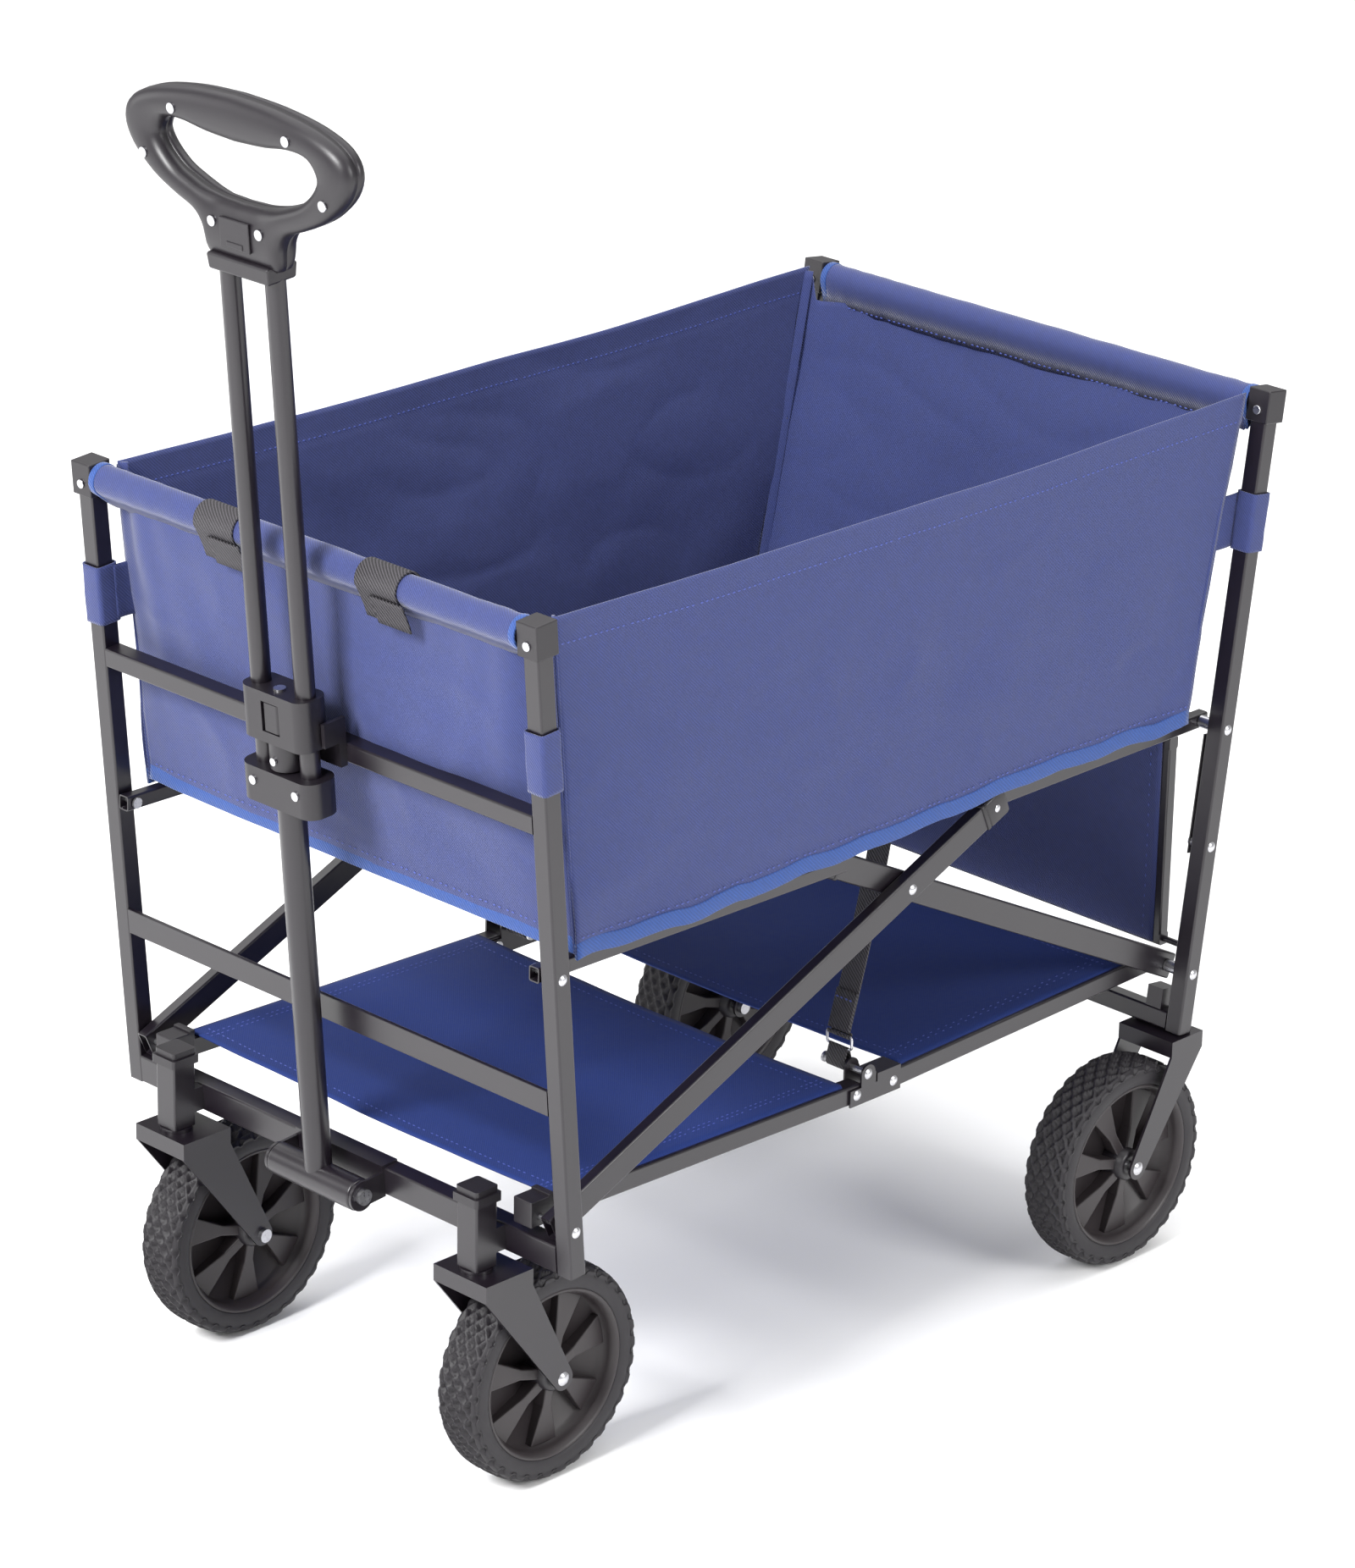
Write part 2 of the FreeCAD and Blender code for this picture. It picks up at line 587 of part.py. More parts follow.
def side_linkage():
    running = PIN_R + PIN_CLEARANCE
    a_holes = [FRONT_LOW + (running,), CROSSING + (PIN_R,), TOP_OF_A + (PIN_R,)]
    scissor_ends = (LOW_OVERRUN, TOP_OVERRUN)
    rail_ends = (SIDE_RAIL_OVERRUN, SIDE_RAIL_OVERRUN)
    a_tube = drilled_link(OUTER_LINK_X, SCISSOR_H, FRONT_LOW, TOP_OF_A, scissor_ends, a_holes)
    save("scissor_a_tubes", *pair(a_tube))
    save("scissor_a_rivets", *end_rivets(OUTER_LINK[0], OUTER_LINK[1], True, CROSSING, TOP_OF_A))
    b_holes = [REAR_LOW + (running,), CROSSING + (PIN_R,), TOP_OF_B + (PIN_R,)]
    b_tube = drilled_link(INNER_LINK_X, SCISSOR_H, REAR_LOW, TOP_OF_B, scissor_ends, b_holes)
    save("scissor_b_tubes", *pair(b_tube))
    save("scissor_b_rivets", *end_rivets(INNER_LINK[0], INNER_LINK[1], False, CROSSING, TOP_OF_B))
    f_holes = [FRONT_SIDE_PIVOT + (running,)]
    f_rail = drilled_link(OUTER_LINK_X, SIDE_RAIL_H, FRONT_SIDE_PIVOT, TOP_OF_B, rail_ends, f_holes)
    save("side_rails_front", *pair(f_rail))
    r_holes = [REAR_SIDE_PIVOT + (running,)]
    r_rail = drilled_link(INNER_LINK_X, SIDE_RAIL_H, REAR_SIDE_PIVOT, TOP_OF_A, rail_ends, r_holes)
    save("side_rails_rear", *pair(r_rail))


def deck_rail(start, end):
    """One lower deck tube, drilled at both ends."""
    length = distance(start, end)
    tube = square_tube(DECK_TUBE, DECK_TUBE, length + 2 * DECK_OVERRUN)
    tube.translate(FreeCAD.Vector(0, 0, -DECK_OVERRUN))
    tube = along_side(tube, DECK_X, start, end)
    for y, z in (start, end):
        hole = rod_x(PIN_R + PIN_CLEARANCE, DECK_X - DECK_TUBE, DECK_X + DECK_TUBE, y, z)
        tube = tube.cut(hole)
    return tube


def deck_cloth(start, end, inset_start, inset_end):
    """A stretched cloth panel on top of two deck tubes."""
    length = distance(start, end)
    panel = solid_bar(2 * (DECK_X + 4), CLOTH, 0.9, length - inset_start - inset_end)
    panel.translate(FreeCAD.Vector(0, -(DECK_TUBE / 2 + CLOTH / 2), inset_start))
    return along_side(panel, 0, start, end)


def lower_deck():
    hinge_front = (HINGE_FRONT_Y, HINGE_Z)
    hinge_rear = (HINGE_REAR_Y, HINGE_Z)
    save("deck_front_rails", *pair(deck_rail(FRONT_LOW, hinge_front)))
    save("deck_rear_rails", *pair(deck_rail(REAR_LOW, hinge_rear)))
    save("deck_front_cloth", deck_cloth(FRONT_LOW, hinge_front, 22, 14))
    rear_cloth = deck_cloth(hinge_rear, REAR_LOW, 14, 46)
    save("deck_rear_cloth", rear_cloth)
    outer_face = DECK_X + DECK_TUBE / 2
    inner_face = DECK_X - DECK_TUBE / 2
    ear_y, ear_z = STRAP_BOLT
    mid_y = (HINGE_FRONT_Y + HINGE_REAR_Y) / 2
    plates = []
    for x0, x1 in ((outer_face + 0.3, outer_face + 2.3), (inner_face - 2.3, inner_face - 0.3)):
        flat = box((x0, x1), (HINGE_FRONT_Y - 9, HINGE_REAR_Y + 9), (HINGE_Z - 10, HINGE_Z + 6))
        ear = rod_x(9.0, x0, x1, ear_y, ear_z)
        neck = box((x0, x1), (ear_y - 9, ear_y + 10), (HINGE_Z, ear_z))
        plates.append(flat.fuse([ear, neck]))
    tops = DECK_TUBE / 2 + 1.5
    bridge = box((inner_face - 2.3, outer_face + 2.3), (mid_y + 2, HINGE_REAR_Y + 9),
                 (HINGE_Z + tops + 1.5, HINGE_Z + tops + 3.5))
    cheek = box((inner_face - 2.3, inner_face - 0.3), (mid_y + 2, HINGE_REAR_Y + 9),
                (HINGE_Z, HINGE_Z + tops + 3.5))
    other = box((outer_face + 0.3, outer_face + 2.3), (mid_y + 2, HINGE_REAR_Y + 9),
                (HINGE_Z, HINGE_Z + tops + 3.5))
    bracket = plates[0].fuse([plates[1], bridge, cheek, other])
    for y, z in (hinge_front, hinge_rear, STRAP_BOLT):
        bracket = bracket.cut(rod_x(PIN_R, inner_face - 5, outer_face + 5, y, z))
    save("deck_hinge_brackets", *pair(bracket))
    pins = []
    for y, z in (hinge_front, hinge_rear):
        pins += pair(pivot_bolt(y, z, outer_face + 2.3, inner_face - 2.3))
    strap_bolt_end = inner_face - STRAP_W - 7
    pins += pair(pivot_bolt(STRAP_BOLT[0], STRAP_BOLT[1], outer_face + 2.3, strap_bolt_end))
    save("deck_hinge_pins", *pins)


def pull_straps():
    """Webbing from the centre hinges' long bolts up to the tub floor, with its ring."""
    x0, x1 = DECK_INNER_X - STRAP_W - 4, DECK_INNER_X - 4
    middle = (x0 + x1) / 2
    ring_z = STRAP_BOLT[1] + 22
    webbing = box((-STRAP_W / 2, STRAP_W / 2), (-STRAP_T / 2, STRAP_T / 2), (0, STRAP_RUN))
    webbing = along_side(webbing, middle, (STRAP_BOLT[0], ring_z + 8), STRAP_TOP)
    loop = box((x0, x1), (STRAP_BOLT[0] - STRAP_T, STRAP_BOLT[0] + STRAP_T), (STRAP_BOLT[1] + 6, ring_z - 8))
    save("pull_straps", *pair(webbing), *pair(loop))
    ring = block((STRAP_W + 8, 3.2, 15), (middle, STRAP_BOLT[0], ring_z))
    ring = ring.cut(block((STRAP_W + 2, 4, 9), (middle, STRAP_BOLT[0], ring_z)))
    save("strap_rings", *pair(ring))


# -------------------------------------------------------------------- handle

def handle_mounting():
    """The folded bracket on the bottom rail and the holder on the upper rail."""
    rail_y = FRONT_PIVOT_Y - POST / 2
    rail_top = FRONT_RAIL_Z + BOTTOM_RAIL_H / 2
    ears = []
    for side in SIDES:
        x0, x1 = sorted((side * 53.5, side * 56.5))
        arm = box((x0, x1), (HANDLE_Y, rail_y), (HANDLE_PIVOT_Z - 11, HANDLE_PIVOT_Z + 13))
        ears += [arm, rod_x(14.0, x0, x1, HANDLE_Y, HANDLE_PIVOT_Z)]
    front = box((-56.5, 56.5), (rail_y - 2.5, rail_y), (HANDLE_PIVOT_Z - 9, rail_top + 2.5))
    top = box((-56.5, 56.5), (rail_y - 2.5, rail_y + 16), (rail_top, rail_top + 2.5))
    bracket = front.fuse([top] + ears)
    bracket = bracket.cut(rod_x(AXLE_R, -60, 60, HANDLE_Y, HANDLE_PIVOT_Z))
    save("handle_bracket", tilt_front(bracket))
    half = 45.5
    base = box((-half, half), (rail_y - 7.5, rail_y), (UPPER_RAIL_Z - 11, UPPER_RAIL_Z + 12))
    horns = []
    for side in SIDES:
        x0, x1 = sorted((side * 41.5, side * half))
        horns.append(box((x0, x1), (rail_y - 24, rail_y - 7), (UPPER_RAIL_Z + 12, UPPER_RAIL_Z + 34)))
        horns.append(box((x0, x1), (rail_y - 7.5, rail_y), (UPPER_RAIL_Z + 10, UPPER_RAIL_Z + 34)))
    save("handle_clip", tilt_front(base.fuse(horns)))


def handle_pivot_bolt():
    """The bolt that the handle swings on, headed outside each ear."""
    shank = rod_x(AXLE_R, -56.5, 56.5, HANDLE_Y, HANDLE_PIVOT_Z)
    heads = [rod_x(7.5, 56.5, 60.5, HANDLE_Y, HANDLE_PIVOT_Z)]
    heads.append(rod_x(7.5, -60.5, -56.5, HANDLE_Y, HANDLE_PIVOT_Z))
    return shank.fuse(heads)


def handle_lower():
    """The swinging cross tube with the single lower tube and its latch block."""
    cross = rod_x(15.0, -53.0, 53.0, HANDLE_Y, HANDLE_PIVOT_Z)
    cross = cross.makeFillet(2.0, cross.Edges[::2])
    tube_top = LATCH_Z[0] + 8
    tube = rod_z(LOWER_TUBE_R, HANDLE_PIVOT_Z, tube_top, 0, HANDLE_Y)
    bore = rod_z(LOWER_TUBE_R - WALL, HANDLE_PIVOT_Z + 15, tube_top + 1, 0, HANDLE_Y)
    lower = cross.fuse(tube.cut(bore))
    lower = lower.cut(rod_x(AXLE_R + PIN_CLEARANCE, -54, 54, HANDLE_Y, HANDLE_PIVOT_Z))
    save("handle_lower_tube", tilt_front(lower))

    height = LATCH_Z[1] - LATCH_Z[0]
    latch = solid_bar(80.0, BLOCK_DEPTH, 12.0, height)
    latch.translate(FreeCAD.Vector(0, HANDLE_Y, LATCH_Z[0]))
    latch = latch.fuse(rod_z(16.0, SLEEVE_Z, LATCH_Z[0], 0, HANDLE_Y))
    for side in SIDES:
        latch = latch.cut(rod_z(TWIN_R + 0.1, LATCH_Z[0] - 1, LATCH_Z[1] + 1, side * TWIN_X, HANDLE_Y))
    latch = latch.cut(rod_z(LOWER_TUBE_R, SLEEVE_Z - 1, tube_top, 0, HANDLE_Y))
    front = HANDLE_Y - BLOCK_DEPTH / 2
    latch = latch.cut(box((-11, 11), (front - 1, HANDLE_Y - 2), (LATCH_Z[0] + 10, LATCH_Z[1] - 9)))
    save("handle_latch_block", tilt_front(latch))
    screw = rod_z(5.5, LATCH_Z[1], LATCH_Z[1] + 1.8, 0, HANDLE_Y - 4)
    rivet = rod_y(3.6, HANDLE_Y - 17.9, HANDLE_Y - 16, 0, SLEEVE_Z + 9)
    save("latch_fasteners", tilt_front(screw), tilt_front(rivet))

    button = solid_bar(20.0, 9.0, 3.5, height - 21)
    button.translate(FreeCAD.Vector(0, front + 5, LATCH_Z[0] + 11))
    save("lock_button", tilt_front(button))


def grip_outline():
    """The loop grip seen from the front: outer edge with its neck, and the hole."""
    outer = [(42, 0), (47, 22), (72, 43), (107, 60), (132, 84), (138, 104), (124, 121), (94, 134),
             (46, 143), (0, 145)]
    outer += [(-x, z) for x, z in reversed(outer[:-1])]
    inner = [(0, 53), (46, 57), (77, 69), (95, 87), (95, 100), (83, 110), (52, 110), (0, 105)]
    inner += [(-x, z) for x, z in reversed(inner[1:-1])]
    to_point = lambda p: FreeCAD.Vector(p[0], HANDLE_Y, GRIP_BOTTOM_Z + p[1])
    edge = Part.BSplineCurve()
    edge.interpolate([to_point(p) for p in outer])
    base = Part.makeLine(to_point(outer[-1]), to_point(outer[0]))
    hole = Part.BSplineCurve()
    hole.interpolate([to_point(p) for p in inner], PeriodicFlag=True)
    return Part.Wire([edge.toShape(), base]), Part.Wire([hole.toShape()])


def handle_upper():
    """The sliding part: twin tubes, the slider block and the two-part grip."""
    tubes = []
    for side in SIDES:
        tube = round_tube_z(TWIN_R, WALL, SLIDER_Z[0] + 4, GRIP_BOTTOM_Z + 24, side * TWIN_X, HANDLE_Y)
        tubes.append(tilt_front(tube))
    save("handle_twin_tubes", *tubes)

    slider = solid_bar(92.0, BLOCK_DEPTH + 2, 14.0, SLIDER_Z[1] - SLIDER_Z[0])
    slider.translate(FreeCAD.Vector(0, HANDLE_Y, SLIDER_Z[0]))
    slider = slider.cut(rod_z(LOWER_TUBE_R + 0.1, SLIDER_Z[0] - 1, SLIDER_Z[1] + 1, 0, HANDLE_Y))
    for side in SIDES:
        slider = slider.cut(rod_z(TWIN_R, SLIDER_Z[0] + 4, SLIDER_Z[1] + 1, side * TWIN_X, HANDLE_Y))
    save("handle_slider_block", tilt_front(slider))

    outer, hole = grip_outline()
    face = Part.Face(outer).cut(Part.Face(hole))
    half = GRIP_DEPTH / 2
    for word, depth in (("front", -half), ("rear", half)):
        shell = face.extrude(FreeCAD.Vector(0, depth, 0))
        for side in SIDES:
            socket = rod_z(TWIN_R, GRIP_BOTTOM_Z - 1, GRIP_BOTTOM_Z + 24, side * TWIN_X, HANDLE_Y)
            shell = shell.cut(socket)
        save("grip_" + word + "_half", tilt_front(shell))

    screws = []
    for side in SIDES:
        for x, z in ((70, 122), (110, 76), (29, 34)):
            front = HANDLE_Y - half
            screws.append(tilt_front(rod_y(4.6, front - 1.2, front, side * x, GRIP_BOTTOM_Z + z)))
        front = HANDLE_Y - BLOCK_DEPTH / 2 - 1
        screws.append(tilt_front(rod_y(4.2, front - 1.4, front, side * 27, SLIDER_Z[0] + 20)))
    save("grip_screws", *screws)


# ----------------------------------------------------------------------- tub

def end_cloth(inward, taper, rotate_to_frame, pivot_y):
    """An end cloth with the hem that wraps the crossbar, drawn on an upright post."""
    outer_r = CROSSBAR_R + 0.3 + CLOTH
    near = pivot_y + inward * (outer_r - CLOTH)
    far = pivot_y + inward * outer_r
    y_pair = (min(near, far), max(near, far))
    top = CROSSBAR_Z - 16
    sheet = box((-TUB_HALF_X, TUB_HALF_X), y_pair, (TUB_BOTTOM_Z + 3, top))
    sheet = sheet.fuse(box((-HEM_HALF_X, HEM_HALF_X), y_pair, (top, CROSSBAR_Z)))
    sheet.rotate(FreeCAD.Vector(0, far, CROSSBAR_Z), X_AXIS, -inward * -taper)
    hem = rod_x(outer_r, -HEM_HALF_X, HEM_HALF_X, pivot_y, CROSSBAR_Z)
    hem = hem.cut(rod_x(CROSSBAR_R + 0.3, -HEM_HALF_X, HEM_HALF_X, pivot_y, CROSSBAR_Z))
    bar_space = rod_x(CROSSBAR_R + 0.3, -TUB_HALF_X - 1, TUB_HALF_X + 1, pivot_y, CROSSBAR_Z)
    return rotate_to_frame(hem.fuse(sheet.cut(bar_space)))


def tub():
    save("tub_front_cloth", end_cloth(1, FRONT_TAPER, tilt_front, FRONT_PIVOT_Y))
    save("tub_rear_cloth", end_cloth(-1, REAR_TAPER, tilt_rear, REAR_PIVOT_Y))
    front_top = on_post(FRONT_PIVOT_Y, FRONT_LEAN, TUB_TOP_Z)[0] + POST / 2 + 5
    rear_top = on_post(REAR_PIVOT_Y, REAR_LEAN, TUB_TOP_Z)[0] - POST / 2 - 5
    front_low = front_top + SIDE_FRONT_RUN
    rear_low = rear_top - SIDE_REAR_RUN
    corners = [(front_top, TUB_TOP_Z), (rear_top, TUB_TOP_Z), (rear_low, TUB_BOTTOM_Z),
               (front_low, TUB_BOTTOM_Z), (front_top, TUB_TOP_Z)]
    inner_x = TUB_SIDE_X - CLOTH
    outline = Part.makePolygon([FreeCAD.Vector(inner_x, y, z) for y, z in corners])
    side = Part.Face(outline).extrude(FreeCAD.Vector(CLOTH, 0, 0))
    floor_z = (FLOOR_Z, FLOOR_Z + FLOOR_T)
    middle = box((-inner_x, inner_x), (FLOOR_FRONT[1] + 1, FLOOR_REAR[0] - 1), floor_z)
    save("tub_sides", middle.fuse(pair(side)))
    save("tub_floor_front", box((-TUB_HALF_X, TUB_HALF_X), FLOOR_FRONT, floor_z))
    save("tub_floor_rear", box((-TUB_HALF_X, TUB_HALF_X), FLOOR_REAR, floor_z))


# ------------------------------------------------------------------ tailgate

def tailgate():
    """A drop-down end panel for the lower deck, pivoted between the rear posts."""
    bottom, top = TAILGATE_Z
    t = TAILGATE_TUBE
    half = TAILGATE_X
    rails = []
    for z in (bottom + t / 2, top - t / 2):
        bar = solid_bar(t, t, CORNER_R, 2 * half)
        rails.append(turn_to_x(bar, -half, TAILGATE_Y, z))
    for side in SIDES:
        upright = solid_bar(t, t, CORNER_R, top - bottom - t)
        upright.translate(FreeCAD.Vector(side * (half - t / 2), TAILGATE_Y, bottom + t / 2))
        rails.append(upright)
    for side in SIDES:
        x0, x1 = sorted((side * (half - 4), side * POST_INNER_X))
        rails.append(rod_x(PIN_R, x0, x1, TAILGATE_Y, bottom + t / 2))
    save("tailgate_frame", rails[0].fuse(rails[1:]))
    cloth = box((-half + t + 0.3, half - t - 0.3), (TAILGATE_Y - 1, TAILGATE_Y + 1),
                (bottom + t + 0.3, top - t - 0.3))
    save("tailgate_cloth", cloth)
    low_y, high = REAR_PIVOT_Y, STAY_PIVOT_Z + 100
    strap = solid_bar(STAY_T, 14.0, 0.7, 116.0)
    strap.translate(FreeCAD.Vector(STAY_X, low_y, STAY_PIVOT_Z - 11))
    strap = strap.cut(rod_x(PIN_R, STAY_X - 3, STAY_X + 3, low_y, STAY_PIVOT_Z))
    strap = strap.fuse(domed_head(STAY_X + STAY_T / 2, low_y, high))
    strap = strap.cut(rod_x(2.2, STAY_X - 3, STAY_X + 3, low_y, high - 33))
    save("tailgate_stays", *pair(tilt_rear(strap)))


def build_all():
    front_frame()
    caster_stems()
    forks()
    rear_frame()
    wheels()
    side_linkage()
    lower_deck()
    pull_straps()
    handle_mounting()
    handle_lower()
    handle_upper()
    tub()
    tailgate()


build_all()
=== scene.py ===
import json
import math

import bpy
from bpy.props import FloatProperty, FloatVectorProperty, IntProperty, PointerProperty
from mathutils import Matrix, Vector, noise


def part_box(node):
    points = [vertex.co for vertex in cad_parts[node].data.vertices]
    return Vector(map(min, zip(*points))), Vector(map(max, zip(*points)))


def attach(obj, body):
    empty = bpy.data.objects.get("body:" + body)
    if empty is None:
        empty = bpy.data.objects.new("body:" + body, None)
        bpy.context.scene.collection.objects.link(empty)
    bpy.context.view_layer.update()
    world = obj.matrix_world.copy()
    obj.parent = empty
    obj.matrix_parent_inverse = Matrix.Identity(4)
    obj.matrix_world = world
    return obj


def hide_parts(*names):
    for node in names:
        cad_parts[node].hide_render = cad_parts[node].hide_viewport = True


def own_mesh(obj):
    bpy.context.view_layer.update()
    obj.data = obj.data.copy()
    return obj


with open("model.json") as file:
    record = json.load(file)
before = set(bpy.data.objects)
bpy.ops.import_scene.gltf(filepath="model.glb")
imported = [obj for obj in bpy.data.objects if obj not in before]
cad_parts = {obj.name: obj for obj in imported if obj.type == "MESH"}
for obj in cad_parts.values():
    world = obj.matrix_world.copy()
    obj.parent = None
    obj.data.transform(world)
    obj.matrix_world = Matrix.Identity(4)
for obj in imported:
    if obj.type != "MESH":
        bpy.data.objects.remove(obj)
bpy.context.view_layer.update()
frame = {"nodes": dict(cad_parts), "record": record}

bl_info = {
    "name": "Folding wagon with pull handle",
    "version": (1, 0, 0),
    "blender": (4, 5, 0),
    "location": "3D View > Sidebar > Wagon",
    "description": "Dresses the framed model of a folding wagon with its cloth, wheels, grip and finishes",
    "category": "Object",
}

JOINTS = {joint["name"]: joint for joint in frame["record"]["behaviour"]["joints"]}
SIDES = (-1, 1)


# ------------------------------------------------------------------ the frame

def middle(node):
    """The centre of a node's box."""
    low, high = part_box(node)
    return (Vector(low) + Vector(high)) / 2


def pivot(joint):
    """Where a joint turns."""
    return Vector(JOINTS[joint]["pos_m"])


FRONT_LOW = pivot("deck_front_pivot")
REAR_LOW = pivot("rear_frame_pivot")
FRONT_UP = (pivot("side_rail_front_pivot") - FRONT_LOW).normalized()
REAR_UP = (pivot("side_rail_rear_pivot") - REAR_LOW).normalized()
POST_HALF = 0.009
POST_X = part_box("front_posts")[1][0] - POST_HALF


def on_post(low, up, height):
    """The point of an end frame's middle plane at a height along its posts."""
    return low + up * (height - low.z)


# ------------------------------------------------------------------ materials

def linear(text):
    """An sRGB hex colour as linear red, green and blue."""
    channels = [int(text[i:i + 2], 16) / 255 for i in (1, 3, 5)]
    return tuple(c / 12.92 if c <= 0.04045 else ((c + 0.055) / 1.055) ** 2.4 for c in channels)


def add_node(tree, kind, inputs=None, **settings):
    """A node with its settings, and its inputs as values or as sockets to link."""
    made = tree.nodes.new(kind)
    for key, value in settings.items():
        setattr(made, key, value)
    for key, value in (inputs or {}).items():
        if isinstance(value, bpy.types.NodeSocket):
            tree.links.new(value, made.inputs[key])
        else:
            made.inputs[key].default_value = value
    return made


def start_material(name, **sockets):
    """A named material and its tree, with constants set on the shader's own sockets."""
    material = bpy.data.materials.new(name)
    material.use_nodes = True
    tree = material.node_tree
    shader = tree.nodes["Principled BSDF"]
    for key, value in sockets.items():
        shader.inputs[key.replace("_", " ")].default_value = value
    return material, tree, shader


def shade(tree, shader, height, strength, distance):
    """Feed a height pattern to the shader as bump."""
    bump = add_node(tree, "ShaderNodeBump",
                    {"Height": height, "Strength": strength, "Distance": distance})
    tree.links.new(bump.outputs["Normal"], shader.inputs["Normal"])


def tint(tree, shader, factor, dark, light):
    """Mix two colours of one finish by a pattern."""
    mix = add_node(tree, "ShaderNodeMixRGB",
                   {"Fac": factor, "Color1": (*dark, 1), "Color2": (*light, 1)})
    tree.links.new(mix.outputs["Color"], shader.inputs["Base Color"])


def grain(tree, size_mm, detail=2.0):
    """Noise whose lumps are about a size in millimetres across."""
    place = add_node(tree, "ShaderNodeTexCoord")
    return add_node(tree, "ShaderNodeTexNoise", {
        "Vector": place.outputs["Object"], "Scale": 1000 / size_mm, "Detail": detail,
    }).outputs["Fac"]


def roughen(tree, shader, factor, low, high):
    """Vary the roughness by a pattern."""
    span = add_node(tree, "ShaderNodeMapRange", {"Value": factor, "To Min": low, "To Max": high})
    tree.links.new(span.outputs["Result"], shader.inputs["Roughness"])


def twill_lines(tree, spacing_mm, distortion=1.2):
    """Diagonal ribs at a spacing across any upright or level cloth."""
    place = add_node(tree, "ShaderNodeTexCoord")
    scale = 2 * math.pi / (10 * spacing_mm / 1000 * math.sqrt(2))
    return add_node(tree, "ShaderNodeTexWave", {
        "Vector": place.outputs["Object"], "Scale": scale, "Distortion": distortion, "Detail": 2.0,
    }, bands_direction="DIAGONAL").outputs["Fac"]


def powder_coated_steel():
    """Polyester powder baked on steel tube: a satin warm black with a fine orange peel."""
    colour = bpy.context.scene.wagon_colours.frame_coat
    material, tree, shader = start_material("powder coated steel", IOR=1.5, Coat_Weight=0.25,
                                            Coat_Roughness=0.3)
    patches = grain(tree, 45)
    tint(tree, shader, patches, [c * 0.86 for c in colour], [c * 1.16 for c in colour])
    roughen(tree, shader, patches, 0.26, 0.36)
    # Orange peel is about 0.7 mm across, drawn at 1.4 mm so that it shows.
    shade(tree, shader, grain(tree, 1.4), 0.10, 0.0004)
    return material


def zinc_plated_steel():
    """Bright zinc on rivets, screws and rings: a slightly cloudy metal."""
    material, tree, shader = start_material("zinc plated steel", Metallic=1.0)
    cloud = grain(tree, 3)
    tint(tree, shader, cloud, linear("#A9A9AE"), linear("#DADADD"))
    roughen(tree, shader, cloud, 0.22, 0.38)
    return material


def moulded_nylon():
    """Glass-filled nylon from a spark-eroded mould: matt black with a fine even grain."""
    colour = bpy.context.scene.wagon_colours.plastic
    material, tree, shader = start_material("moulded nylon", IOR=1.53)
    patches = grain(tree, 25)
    tint(tree, shader, patches, [c * 0.9 for c in colour], [c * 1.12 for c in colour])
    roughen(tree, shader, patches, 0.36, 0.46)
    # Spark grain is 0.15 mm, drawn at 0.9 mm so that it shows.
    shade(tree, shader, grain(tree, 0.9), 0.18, 0.0003)
    return material


def rim_polypropylene():
    """Injection-moulded polypropylene: a greyer, slightly waxy black."""
    colour = bpy.context.scene.wagon_colours.rim
    material, tree, shader = start_material("moulded polypropylene", IOR=1.49)
    patches = grain(tree, 30)
    tint(tree, shader, patches, [c * 0.85 for c in colour], [c * 1.15 for c in colour])
    roughen(tree, shader, patches, 0.38, 0.5)
    shade(tree, shader, grain(tree, 1.2), 0.08, 0.0003)
    return material


def tyre_rubber():
    """Foamed EVA rubber: matt, with dust in its pores that lifts the black."""
    colour = bpy.context.scene.wagon_colours.tyre
    material, tree, shader = start_material("foamed tyre rubber", IOR=1.52)
    patches = grain(tree, 12, 4.0)
    tint(tree, shader, patches, [c * 0.8 for c in colour], [c * 1.25 for c in colour])
    roughen(tree, shader, patches, 0.5, 0.66)
    shade(tree, shader, grain(tree, 1.1), 0.12, 0.0003)
    return material


def polyester_twill():
    """Coated 600 denier polyester twill: diagonal ribs and a soft violet-blue bloom."""
    colour = bpy.context.scene.wagon_colours.tub_cloth
    material, tree, shader = start_material("polyester twill", IOR=1.5, Sheen_Weight=0.22,
                                            Sheen_Roughness=0.45)
    # The ribs are about 0.8 mm apart, drawn at 2.2 mm so that they show.
    ribs = twill_lines(tree, 2.2)
    slubs = grain(tree, 9, 4.0)
    pattern = add_node(tree, "ShaderNodeMath", {0: ribs, 1: slubs}, operation="MULTIPLY")
    tint(tree, shader, pattern.outputs[0], [c * 0.70 for c in colour], [c * 1.36 for c in colour])
    roughen(tree, shader, slubs, 0.72, 0.9)
    shade(tree, shader, ribs, 0.45, 0.0006)
    return material


def deck_canvas():
    """Plain-woven polyester canvas: a deeper blue with fine crossing threads."""
    colour = bpy.context.scene.wagon_colours.deck_cloth
    material, tree, shader = start_material("polyester canvas", IOR=1.42, Sheen_Weight=0.02,
                                            Sheen_Roughness=0.5)
    # Threads are 0.5 mm apart, drawn at 1.8 mm so that they show.
    warp = twill_lines(tree, 1.8, 0.4)
    slubs = grain(tree, 7, 4.0)
    pattern = add_node(tree, "ShaderNodeMath", {0: warp, 1: slubs}, operation="MULTIPLY")
    tint(tree, shader, pattern.outputs[0], [c * 0.85 for c in colour], [c * 1.2 for c in colour])
    roughen(tree, shader, slubs, 0.7, 0.88)
    shade(tree, shader, warp, 0.2, 0.0004)
    return material


